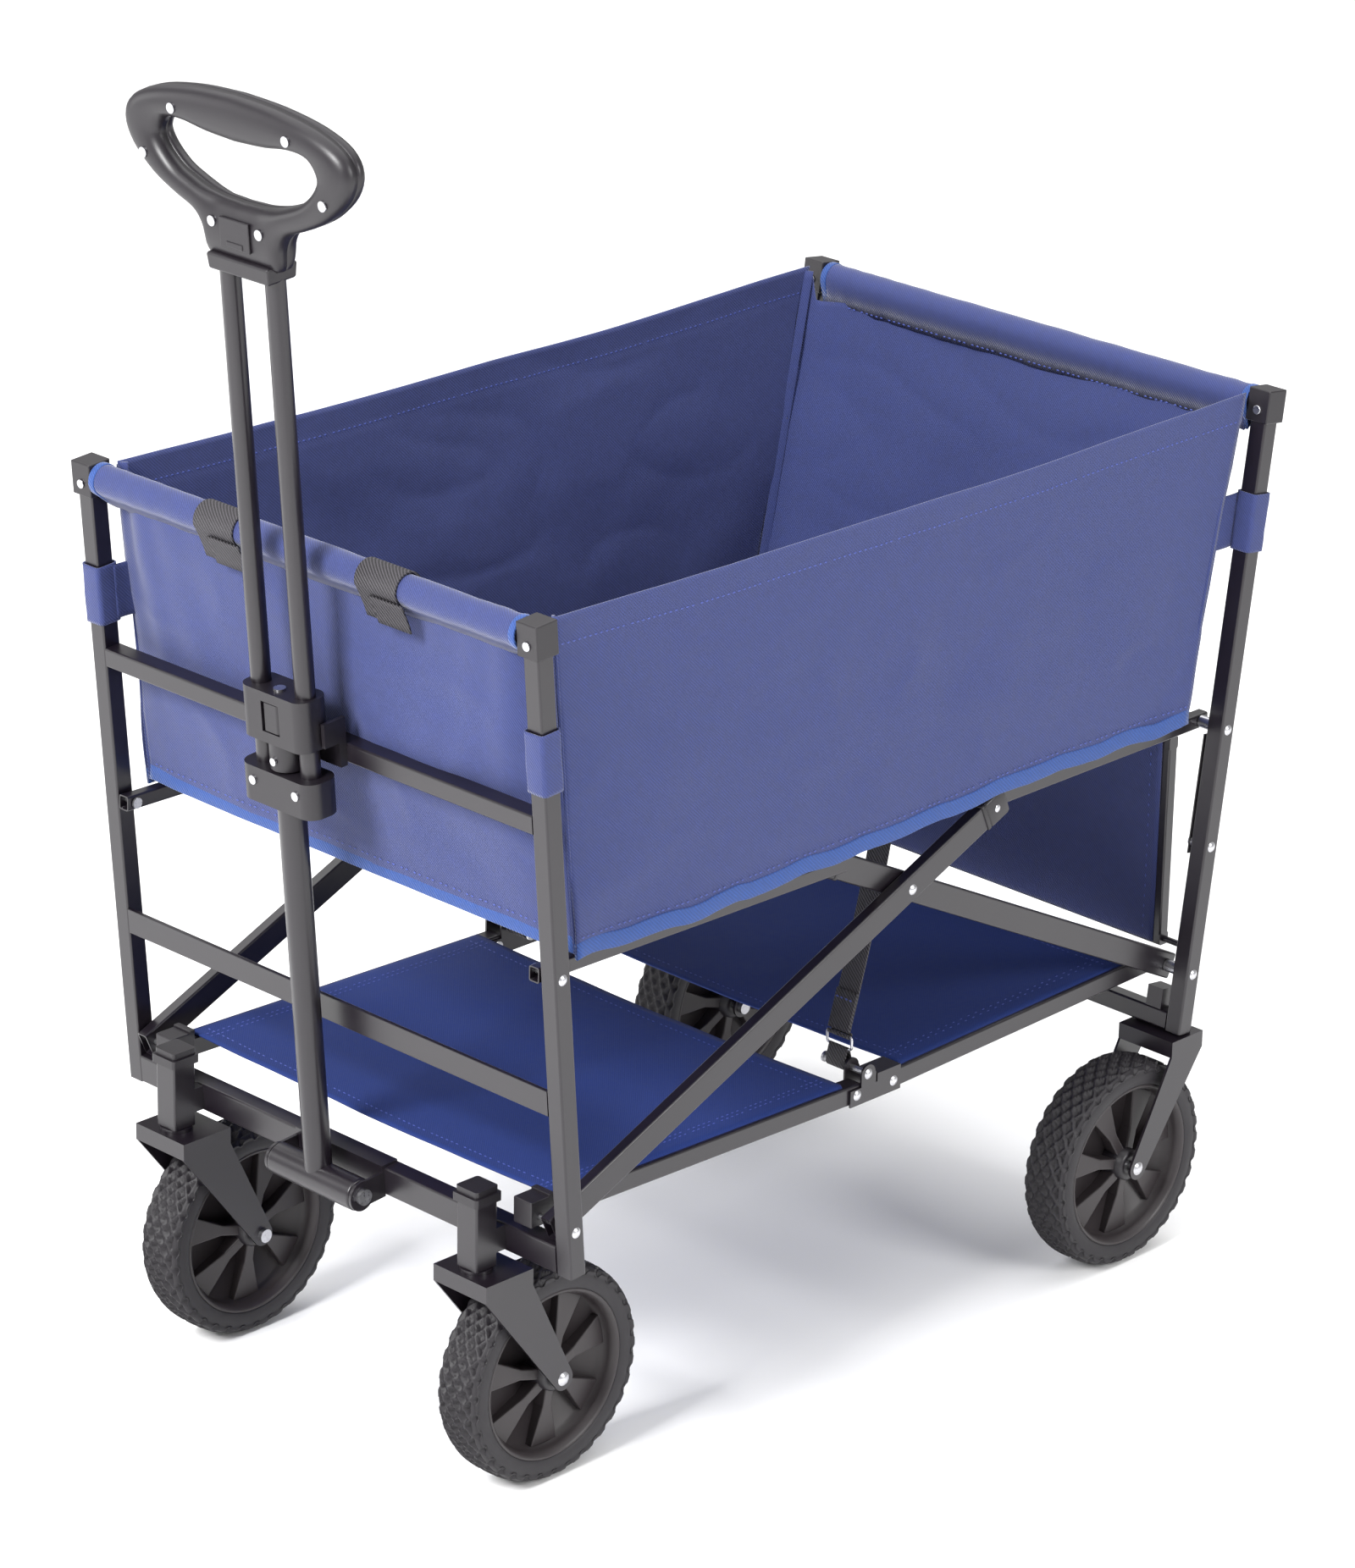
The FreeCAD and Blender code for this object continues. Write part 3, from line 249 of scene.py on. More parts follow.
def grosgrain_tape():
    """Ribbed polyester binding tape: a clearer blue than the cloth it edges."""
    colour = bpy.context.scene.wagon_colours.tape
    material, tree, shader = start_material("grosgrain tape", IOR=1.5, Sheen_Weight=0.25,
                                            Sheen_Roughness=0.4)
    # Ribs are 1 mm apart, drawn at 2.6 mm so that they show.
    ribs = twill_lines(tree, 2.6, 0.3)
    slubs = grain(tree, 6)
    pattern = add_node(tree, "ShaderNodeMath", {0: ribs, 1: slubs}, operation="MULTIPLY")
    tint(tree, shader, pattern.outputs[0], [c * 0.7 for c in colour], [c * 1.25 for c in colour])
    roughen(tree, shader, slubs, 0.6, 0.8)
    shade(tree, shader, ribs, 0.5, 0.0008)
    return material


def herringbone_webbing():
    """Black polypropylene webbing: raised diagonal yarns with a dull shine."""
    material, tree, shader = start_material("herringbone webbing", IOR=1.49)
    # Yarns are 1.5 mm apart, drawn at 3 mm so that they show.
    yarns = twill_lines(tree, 3.0, 0.2)
    tint(tree, shader, yarns, linear("#0C0A0E"), linear("#454247"))
    roughen(tree, shader, yarns, 0.55, 0.75)
    shade(tree, shader, yarns, 0.7, 0.001)
    return material


def sewing_thread():
    """Bonded polyester thread: a lighter blue with a slight gloss."""
    material, tree, shader = start_material("bonded sewing thread", IOR=1.5)
    twist = grain(tree, 1.0)
    tint(tree, shader, twist, linear("#2E3A80"), linear("#4C5CA8"))
    roughen(tree, shader, twist, 0.45, 0.6)
    return material


FINISHES = {
    "powder_coated_steel": powder_coated_steel,
    "zinc_plated_steel": zinc_plated_steel,
    "moulded_plastic": moulded_nylon,
    "rim_plastic": rim_polypropylene,
    "tyre_rubber": tyre_rubber,
    "tub_twill": polyester_twill,
    "deck_canvas": deck_canvas,
    "tape": grosgrain_tape,
    "webbing": herringbone_webbing,
    "thread": sewing_thread,
}
MADE = {}


def finish_of(name):
    """The material of a finish, made once."""
    if name not in MADE:
        MADE[name] = FINISHES[name]()
    return MADE[name]


# --------------------------------------------------------------- mesh making

def make_piece(name, points, faces, finish, body, smooth=True):
    """A mesh piece with its finish, riding on a body."""
    mesh = bpy.data.meshes.new(name)
    mesh.from_pydata([tuple(p) for p in points], [], faces)
    mesh.validate()
    for face in mesh.polygons:
        face.use_smooth = smooth
    mesh.materials.append(finish_of(finish))
    obj = bpy.data.objects.new(name, mesh)
    bpy.context.scene.collection.objects.link(obj)
    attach(obj, body)
    return obj


def thicken(obj, thickness, offset=0.0):
    """Give an open sheet its thickness, evenly."""
    solid = obj.modifiers.new("thickness", "SOLIDIFY")
    solid.thickness = thickness
    solid.offset = offset
    solid.use_even_offset = True


def soften(obj, width, segments=2, angle=30):
    """Round the edges of a piece."""
    bevel = obj.modifiers.new("rounded edges", "BEVEL")
    bevel.width = width
    bevel.segments = segments
    bevel.limit_method = "ANGLE"
    bevel.angle_limit = math.radians(angle)
    bevel.use_clamp_overlap = True


def sheet_mesh(columns, rows, place):
    """Points and quads of a sheet whose place is a function of u and v from 0 to 1."""
    points = [place(c / columns, r / rows) for r in range(rows + 1) for c in range(columns + 1)]
    faces = []
    for r in range(rows):
        for c in range(columns):
            first = r * (columns + 1) + c
            faces.append((first, first + 1, first + columns + 2, first + columns + 1))
    return points, faces


def ring_faces(rings, size, closed_path=False, capped=True):
    """Quads that join rings of points, and the two end caps."""
    faces = []
    spans = rings if closed_path else rings - 1
    for i in range(spans):
        here, there = i * size, ((i + 1) % rings) * size
        for j in range(size):
            k = (j + 1) % size
            faces.append((here + j, here + k, there + k, there + j))
    if capped and not closed_path:
        faces.append(tuple(reversed(range(size))))
        faces.append(tuple(range((rings - 1) * size, rings * size)))
    return faces


def rounded_section(width, thickness, corner, steps=2):
    """Points round a flat section with round corners, as pairs across and through."""
    points = []
    for quarter, (sx, sy) in enumerate([(1, 1), (-1, 1), (-1, -1), (1, -1)]):
        for step in range(steps + 1):
            angle = math.radians(90 * (quarter + step / steps))
            points.append((sx * (width / 2 - corner) + corner * math.cos(angle),
                           sy * (thickness / 2 - corner) + corner * math.sin(angle)))
    return points


def sweep(path, across, section, closed=False):
    """A section carried along a path. across gives the section's wide direction at each point."""
    points = []
    count = len(path)
    for i, centre in enumerate(path):
        if closed:
            ahead, behind = path[(i + 1) % count], path[i - 1]
        else:
            ahead, behind = path[min(i + 1, count - 1)], path[max(i - 1, 0)]
        along = (ahead - behind).normalized()
        wide = across(i)
        wide = (wide - along * wide.dot(along)).normalized()
        through = along.cross(wide)
        points += [centre + wide * a + through * b for a, b in section]
    return points, ring_faces(count, len(section), closed)


def strip(name, path, across, width, thickness, finish, body, closed=False):
    """A flat strap or tape along a path."""
    section = rounded_section(width, thickness, min(width, thickness) * 0.3)
    points, faces = sweep(path, across, section, closed)
    return make_piece(name, points, faces, finish, body)


def stitch_row(name, path, out, body, length=0.0042, gap=0.0022, size=0.0009):
    """A row of sewn stitches along a path. out is the direction that faces the eye."""
    points, faces = [], []
    spare = 0.0
    for start, end in zip(path, path[1:]):
        run = (end - start).length
        along = (end - start).normalized()
        side = along.cross(out).normalized()
        at = spare
        while at + length < run:
            a, b = start + along * at, start + along * (at + length)
            top = (a + b) / 2 + out * size
            first = len(points)
            points += [a, b, (a + b) / 2 + side * size, (a + b) / 2 - side * size, top]
            faces += [(first, first + 2, first + 4), (first + 2, first + 1, first + 4),
                      (first + 1, first + 3, first + 4), (first + 3, first, first + 4)]
            at += length + gap
        spare = max(0.0, at - run)
    return make_piece(name, points, faces, "thread", body)


def box_mesh(centre, size):
    """Points and faces of a block."""
    signs = [(x, y, z) for x in SIDES for y in SIDES for z in SIDES]
    points = [Vector([c + s * n / 2 for c, s, n in zip(centre, size, sign)]) for sign in signs]
    faces = [(0, 1, 3, 2), (4, 6, 7, 5), (0, 4, 5, 1), (2, 3, 7, 6), (0, 2, 6, 4), (1, 5, 7, 3)]
    return points, faces


def lerp(a, b, t):
    return a + (b - a) * t


def ease(t):
    """A smooth step from 0 to 1."""
    t = max(0.0, min(1.0, t))
    return t * t * (3 - 2 * t)


def through_knots(knots, t):
    """A smooth curve through evenly spaced values, at t from 0 to 1."""
    spans = len(knots) - 1
    i = min(int(t * spans), spans - 1)
    f = t * spans - i
    p0, p1 = knots[max(i - 1, 0)], knots[i]
    p2, p3 = knots[i + 1], knots[min(i + 2, spans)]
    return 0.5 * (2 * p1 + (p2 - p0) * f + (2 * p0 - 5 * p1 + 4 * p2 - p3) * f * f
                  + (3 * p1 - p0 - 3 * p2 + p3) * f ** 3)


def drape(point, seed, depth):
    """Long soft creases that run more across a cloth than down it."""
    at = Vector((point.x / 0.24, point.y / 0.24,
                 point.z / 0.11)) + Vector((seed * 5.1, seed * 2.7, seed))
    at += 0.5 * Vector((point.z, point.x, point.y)) / 0.3
    crease = abs(noise.noise(at * 1.6 + Vector((4.0, 0, 0)))) ** 0.6
    return depth * (noise.noise(at) + 0.55 * (0.4 - crease))


def folds(point, seed, size, depth):
    """Soft wrinkles: layered noise about a size across and a depth high."""
    at = Vector((point.x, point.y, point.z)) / size + Vector((seed * 7.3, seed * 3.1, seed))
    return depth * (noise.noise(at) + 0.45 * noise.noise(at * 2.3))


# ------------------------------------------------------------------ properties

class WagonSizes(bpy.types.PropertyGroup):
    """Sizes of the sewn and moulded parts, in metres."""
    cloth: FloatProperty(name="Cloth", description="Thickness of the tub cloth", default=0.0016,
                         unit="LENGTH")
    hem_radius: FloatProperty(name="Hem", description="Outer radius of the round end hems",
                              default=0.0125, unit="LENGTH")
    hem_drop: FloatProperty(name="Hem seam", description="Depth of the hem seam below the crossbar",
                            default=0.024, unit="LENGTH")
    tape_width: FloatProperty(name="Tape", description="Width of the binding tape", default=0.0155,
                              unit="LENGTH")
    sleeve_height: FloatProperty(name="Sleeve",
                                 description="Height of the cloth sleeves on the posts",
                                 default=0.055, unit="LENGTH")
    sleeve_place: FloatProperty(name="Sleeve place", description="Height of the sleeves' middle",
                                default=0.718, unit="LENGTH")
    strap_width: FloatProperty(name="Hem strap",
                               description="Width of the black straps on the front hem",
                               default=0.05, unit="LENGTH")
    strap_place: FloatProperty(name="Strap place",
                               description="Distance of the hem straps from the middle",
                               default=0.102, unit="LENGTH")
    lugs: IntProperty(name="Lugs", description="Tread lugs round a tyre", default=34)
    spokes: IntProperty(name="Spokes", description="Wedge spokes in a rim", default=7)


class WagonColours(bpy.types.PropertyGroup):
    """Base colours of the finishes."""
    frame_coat: FloatVectorProperty(name="Frame", description="Powder coat", subtype="COLOR",
                                    default=linear("#151017"))
    plastic: FloatVectorProperty(name="Plastic", description="Moulded nylon", subtype="COLOR",
                                 default=linear("#161218"))
    rim: FloatVectorProperty(name="Rims", description="Moulded rims", subtype="COLOR",
                             default=linear("#2C2729"))
    tyre: FloatVectorProperty(name="Tyres", description="Tyre rubber", subtype="COLOR",
                              default=linear("#151117"))
    tub_cloth: FloatVectorProperty(name="Tub", description="Tub twill", subtype="COLOR",
                                   default=linear("#2D386E"))
    deck_cloth: FloatVectorProperty(name="Deck", description="Deck canvas", subtype="COLOR",
                                    default=linear("#112A6A"))
    tape: FloatVectorProperty(name="Tape", description="Binding tape", subtype="COLOR",
                              default=linear("#23488E"))


class WagonPiece:
    """What every operator here shares."""
    bl_options = {"REGISTER", "UNDO"}


# -------------------------------------------------------------------- wheels

WHEELS = [(end, word) for end in ("front", "rear") for word in ("left", "right")]


class WAGON_OT_tyres(WagonPiece, bpy.types.Operator):
    """Mould the four tyres with their diamond tread"""
    bl_idname = "wagon.tyres"
    bl_label = "Tyres"

    def execute(self, context):
        lugs = context.scene.wagon_sizes.lugs
        for end, word in WHEELS:
            self.tyre(end, word, lugs)
        return {"FINISHED"}

    def tyre(self, end, word, lugs):
        node = "tyre_" + end + "_" + word
        low, high = (Vector(c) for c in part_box(node))
        centre = (low + high) / 2
        radius, half = (high.z - low.z) / 2, (high.x - low.x) / 2
        inner = radius * 0.775
        # Half section from the rim, up the side wall and over the tread: x as a share of half, radius.
        wall = [(0.90, inner), (0.97, inner + 0.002), (1.0, radius * 0.83), (1.0, radius * 0.895),
                (0.975, radius * 0.905), (0.975, radius * 0.92), (1.0,
                                                                  radius * 0.93), (0.985, radius * 0.955)]
        tread_steps = 36
        section = [(share * half, r, 0.0) for share, r in wall]
        for step in range(tread_steps + 1):
            across = math.cos(math.pi * step / tread_steps)
            crown = radius - 0.0042 - 0.0050 * abs(across) ** 4
            section.append((across * half * 0.97, crown, 1.0))
        section += [(-share * half, r, 0.0) for share, r in reversed(wall)]
        around = lugs * 10
        points = []
        for i in range(around):
            turn = i / around
            angle = 2 * math.pi * turn
            for x, r, patterned in section:
                if patterned:
                    r += 0.0042 * self.lug(turn * lugs, x / half)
                elif r > radius * 0.925:
                    # The shoulder blocks run down the side in scallops.
                    r -= 0.0032 * (1 - self.lug(turn * lugs, 1.0))
                points.append(centre + Vector((x, r * math.sin(angle), r * math.cos(angle))))
        faces = ring_faces(around, len(section), closed_path=True)
        obj = make_piece(node + "_tread", points, faces, "tyre_rubber", end + "_wheel_" + word)
        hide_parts(node)

    def lug(self, turn, across):
        """Height of the tread: raised ribs that cross in diamonds, and blocks at the shoulders."""
        ribs = 0.0
        for lean in SIDES:
            phase = (turn + lean * across * 1.9) % 1.0
            ribs = max(ribs, 1 - abs(phase - 0.5) / 0.19)
        if abs(across) > 0.82:
            ribs = max(ribs, 1.15 - abs((turn % 1.0) - 0.5) / 0.36)
        return ease(ribs * 1.8)


class WAGON_OT_rims(WagonPiece, bpy.types.Operator):
    """Mould the four rims with wedge spokes round a deep hub"""
    bl_idname = "wagon.rims"
    bl_label = "Rims"

    def execute(self, context):
        count = context.scene.wagon_sizes.spokes
        for end, word in WHEELS:
            self.rim(end, word, count)
        return {"FINISHED"}

    def rim(self, end, word, count):
        node = "rim_" + end + "_" + word
        low, high = (Vector(c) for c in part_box(node))
        centre = (low + high) / 2
        radius, half = (high.z - low.z) / 2, (high.x - low.x) / 2 - 0.003
        body = end + "_wheel_" + word
        # Band, both lips and the thin middle web, turned as one section.
        lip = [(half * 0.98, radius * 0.95), (half * 1.04, radius * 0.968),
               (half * 1.07, radius * 0.985),
               (half * 1.03, radius * 1.0)]
        section = [(0.0015, 0.016), (0.0015, radius * 0.90), (half * 0.7, radius * 0.915)] + lip
        section += [(-x, r) for x, r in reversed(section)]
        band = self.turned(section, centre, 96)
        obj = make_piece(node + "_band", *band, "rim_plastic", body)
        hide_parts(node)
        hub = [(half + 0.0025, 0.0045), (half + 0.003, 0.0125), (half + 0.001, 0.015),
               (half * 0.5, 0.0165),
               (0.0, 0.019)]
        hub += [(-x, r) for x, r in reversed(hub[:-1])]
        make_piece(node + "_hub", *self.turned(hub, centre, 48), "moulded_plastic", body)
        points, faces = [], []
        for number in range(count):
            turn = 2 * math.pi * (number + 0.5) / count
            self.wedge(points, faces, centre, turn, half, radius)
        spokes = make_piece(node + "_spokes", points, faces, "rim_plastic", body, smooth=False)
        soften(spokes, 0.0012)

    def turned(self, section, centre, steps):
        points = []
        for i in range(steps):
            angle = 2 * math.pi * i / steps
            points += [centre + Vector((x, r * math.sin(angle), r * math.cos(angle))) for x,
                       r in section]
        return points, ring_faces(steps, len(section), closed_path=True)

    def wedge(self, points, faces, centre, turn, half, radius):
        """One spoke: narrow at the hub, wide at the band, and dished towards the hub."""
        first = len(points)
        spread = 0.215
        stations = [(0.013, 0.40, 0.80), (radius * 0.42, 0.155, 0.62),
                    (radius * 0.925, spread, 0.40)]
        for r, angle, depth in stations:
            for lean in SIDES:
                for side in SIDES:
                    a = turn + lean * angle
                    points.append(centre + Vector((side * half * depth, r * math.sin(a),
                                                   r * math.cos(a))))
        for station in range(len(stations) - 1):
            a = first + station * 4
            b = a + 4
            for j, k in ((0, 1), (1, 3), (3, 2), (2, 0)):
                faces.append((a + j, a + k, b + k, b + j))
        faces.append((first, first + 2, first + 3, first + 1))
        last = first + (len(stations) - 1) * 4
        faces.append((last, last + 1, last + 3, last + 2))


# --------------------------------------------------------------------- handle

def handle_frame():
    """The handle's own axes: the middle of the grip's base, up, and towards the tub."""
    up = Vector(JOINTS["handle_slide"]["axis"]).normalized()
    inward = Vector((0, up.z, -up.y))
    low = pivot("handle_swing")
    base = low + up * ((middle("grip_front_half") - low).dot(up) - 0.0725)
    return base, up, inward


class WAGON_OT_grip(WagonPiece, bpy.types.Operator):
    """Mould the two halves of the loop grip"""
    bl_idname = "wagon.grip"
    bl_label = "Grip"

    OUTER = [(0, 0), (24, 0), (42, 2), (46, 22), (56, 36), (80, 46), (107, 60), (130, 81),
             (138, 103),
             (127, 121), (96, 134), (48, 142), (0, 144.5)]
    INNER = [(0, 53), (12, 53.5), (24, 54), (36, 55.5), (48, 58), (61, 62.5), (76, 69), (91, 82),
             (96.5, 95),
             (86, 109), (64, 111), (34, 106.5), (0, 104.5)]

    def loop(self, half, samples):
        """A closed outline from its right half, evenly sampled between its points."""
        xs, zs = [p[0] / 1000 for p in half], [p[1] / 1000 for p in half]
        right = [(through_knots(xs, i / samples),
                  through_knots(zs, i / samples)) for i in range(samples + 1)]
        return right + [(-x, z) for x, z in reversed(right[1:-1])]

    def execute(self, context):
        base, up, inward = handle_frame()
        outer, inner = self.loop(self.OUTER, 48), self.loop(self.INNER, 48)
        depth = 0.0147
        steps = 12
        for side, word in ((-1, "front"), (1, "rear")):
            points = []
            for (xo, zo), (xi, zi) in zip(outer, inner):
                for step in range(steps + 1):
                    angle = math.pi * step / steps
                    c, s = math.cos(angle), math.sin(angle)
                    share = 0.5 - 0.5 * math.copysign(abs(c) ** 0.8, c)
                    lift = side * (0.0002 + depth * abs(s) ** 0.66)
                    x, z = lerp(xo, xi, share), lerp(zo, zi, share)
                    points.append(base + Vector((x, 0, 0)) + up * z + inward * lift)
            count = len(outer)
            faces = ring_faces(count, steps + 1, closed_path=True)
            obj = make_piece("grip_" + word + "_shell", points, faces, "moulded_plastic",
                             "handle_upper")
            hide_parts("grip_" + word + "_half")
        self.neck(base, up, inward)
        return {"FINISHED"}

    def neck(self, base, up, inward):
        """The flat recess with its slotted cover between the two neck screws."""
        front = base - inward * 0.0153
        collar = [(0.036, 0.0145), (0.036, -0.0145), (-0.036, -0.0145), (-0.036, 0.0145)]
        points = []
        for z, grow in ((-0.009, 0.0), (-0.007, 0.001), (0.005, 0.002), (0.0065, 0.0)):
            for x, y in collar:
                points.append(base + Vector((x + math.copysign(grow, x), 0, 0)) + up * z
                              + inward * (y + math.copysign(grow, y)))
        rim = make_piece("grip_collar", points, ring_faces(4, 4), "moulded_plastic", "handle_upper",
                         smooth=False)
        soften(rim, 0.0025, 3)
        for name, size, place in (("grip_cover", (0.036, 0.026), 0.028),
                                  ("grip_slot", (0.020, 0.005), 0.019)):
            points, faces = box_mesh(Vector((0, 0, 0)), (size[0], 0.0026, size[1]))
            turned = [front + Vector((p.x, 0,
                                      0)) + up * (p.z + place) + inward * p.y for p in points]
            lift = -inward * (0.0004 if name == "grip_cover" else 0.0012)
            turned = [p + lift for p in turned]
            cover = make_piece(name, turned, faces, "moulded_plastic", "handle_upper", smooth=False)
            soften(cover, 0.0009, 3)


# ------------------------------------------------------------------------ tub

def measure_end(word):
    """The crossbar's middle, the inward direction and the floor's edge at an end."""
    bar = middle(word + "_top_crossbar")
    inward = 1 if word == "front" else -1
    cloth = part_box("tub_" + word + "_cloth")
    floor_y = cloth[1][1] if inward > 0 else cloth[0][1]
    return bar, inward, floor_y


ENDS = {word: measure_end(word) for word in ("front", "rear")}
TUB_TOP_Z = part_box("tub_sides")[1][2]
TUB_LOW_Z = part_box("tub_sides")[0][2]
TUB_SIDE_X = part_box("tub_sides")[1][0] - 0.0014


def seam_line(word, v):
    """Y and Z of the vertical corner seam, from the top at v 0 to the bottom at v 1."""
    bar, inward, floor_y = ENDS[word]
    top_y = bar.y + inward * 0.0245
    return lerp(top_y, floor_y + inward * 0.001, v), lerp(TUB_TOP_Z + 0.001, TUB_LOW_Z + 0.005, v)


def side_edge_z(u):
    """Heights of a side cloth's top and bottom edges from front to rear."""
    top = through_knots([0.002, -0.001, -0.002, -0.002, -0.003, 0.001, 0.005], u)
    low = through_knots([0.002, -0.002, -0.001, 0.001, 0.004, 0.008, 0.007, 0.008], u)
    return TUB_TOP_Z + top, TUB_LOW_Z + low


def side_point(side, u, v):
    """A point of a side cloth: u from front to rear, v from top to bottom."""
    (y_front, _), (y_rear, _) = seam_line("front", v), seam_line("rear", v)
    y = lerp(y_front, y_rear, u)
    top, low = side_edge_z(u)
    z = lerp(top, low, v)
    point = Vector((0, y, z))
    slack = math.sin(math.pi * u) ** 0.5 * math.sin(math.pi * min(1, v * 1.05)) ** 0.7
    ripple = (folds(point, 3 + side, 0.10, 0.003) + drape(point, 4 + side,
                                                          0.0085)) * (0.3 + 0.7 * slack)
    # Drawn-in folds fan out of the bottom corners.
    for corner in (0.0, 1.0):
        away = abs(u - corner) * 3.0 + (1 - v) * 1.1
        ripple += 0.005 * math.exp(-away * 3.2) * math.sin(26 * (u - corner) + 9 * v)
    hem = 0.0008 * (1 - ease((v - 0.085) / 0.01))
    # The cloth stays outside the links that rise inside it as the wagon folds.
    x = max(TUB_SIDE_X + 0.0006, TUB_SIDE_X + 0.0014 + 0.0028 * slack + ripple) + hem
    return Vector((side * x, y, z))


class WAGON_OT_tub_sides(WagonPiece, bpy.types.Operator):
    """Hang the two long side cloths with their hems and bound lower edges"""
    bl_idname = "wagon.tub_sides"
    bl_label = "Tub sides"

    def execute(self, context):
        sizes = context.scene.wagon_sizes
        for side, word in ((-1, "left"), (1, "right")):
            points, faces = sheet_mesh(150, 60, lambda u, v: side_point(side, u, v))
            cloth = make_piece("tub_side_" + word, points, faces, "tub_twill", "front_frame")
            thicken(cloth, sizes.cloth)
            tape = self.tape(side, word, sizes.tape_width)
            rows = self.rows(side, word)
            if side < 0:
                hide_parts("tub_sides")
            anchor = side_point(side, 0, 0)
            for obj in [cloth, tape] + rows:
                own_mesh(obj)
        return {"FINISHED"}

    def tape(self, side, word, width):
        """Binding folded over the lower edge, a little uneven."""
        path = []
        for i in range(121):
            u = i / 120
            foot = side_point(side, u, 1.0)
            above = side_point(side, u, 0.93)
            wave = 0.0012 * math.sin(u * 58) + folds(foot, 9, 0.03, 0.0012)
            path.append(foot + (above - foot).normalized() * (width / 2 - 0.003 + wave))
        tape = strip("tub_side_tape_" + word, path, lambda i: Vector((0, 0, 1)), width, 0.0034,
                     "tape",
                     "front_frame")
        return tape

    def rows(self, side, word):
        """The hem's stitches, inside and out, and the tape's."""
        made = []
        for name, v in (("hem", 0.082), ("tape", 0.945)):
            for face in SIDES:
                out = Vector((side * face, 0, 0))
                stand = 0.0017 if name == "tape" else 0.0009
                path = [side_point(side, i / 140, v) + out * stand for i in range(1, 140)]
                label = "tub_side_" + name + "_stitches_" + word + ("_out" if face > 0 else "_in")
                made.append(stitch_row(label, path, out, "front_frame"))
        return made


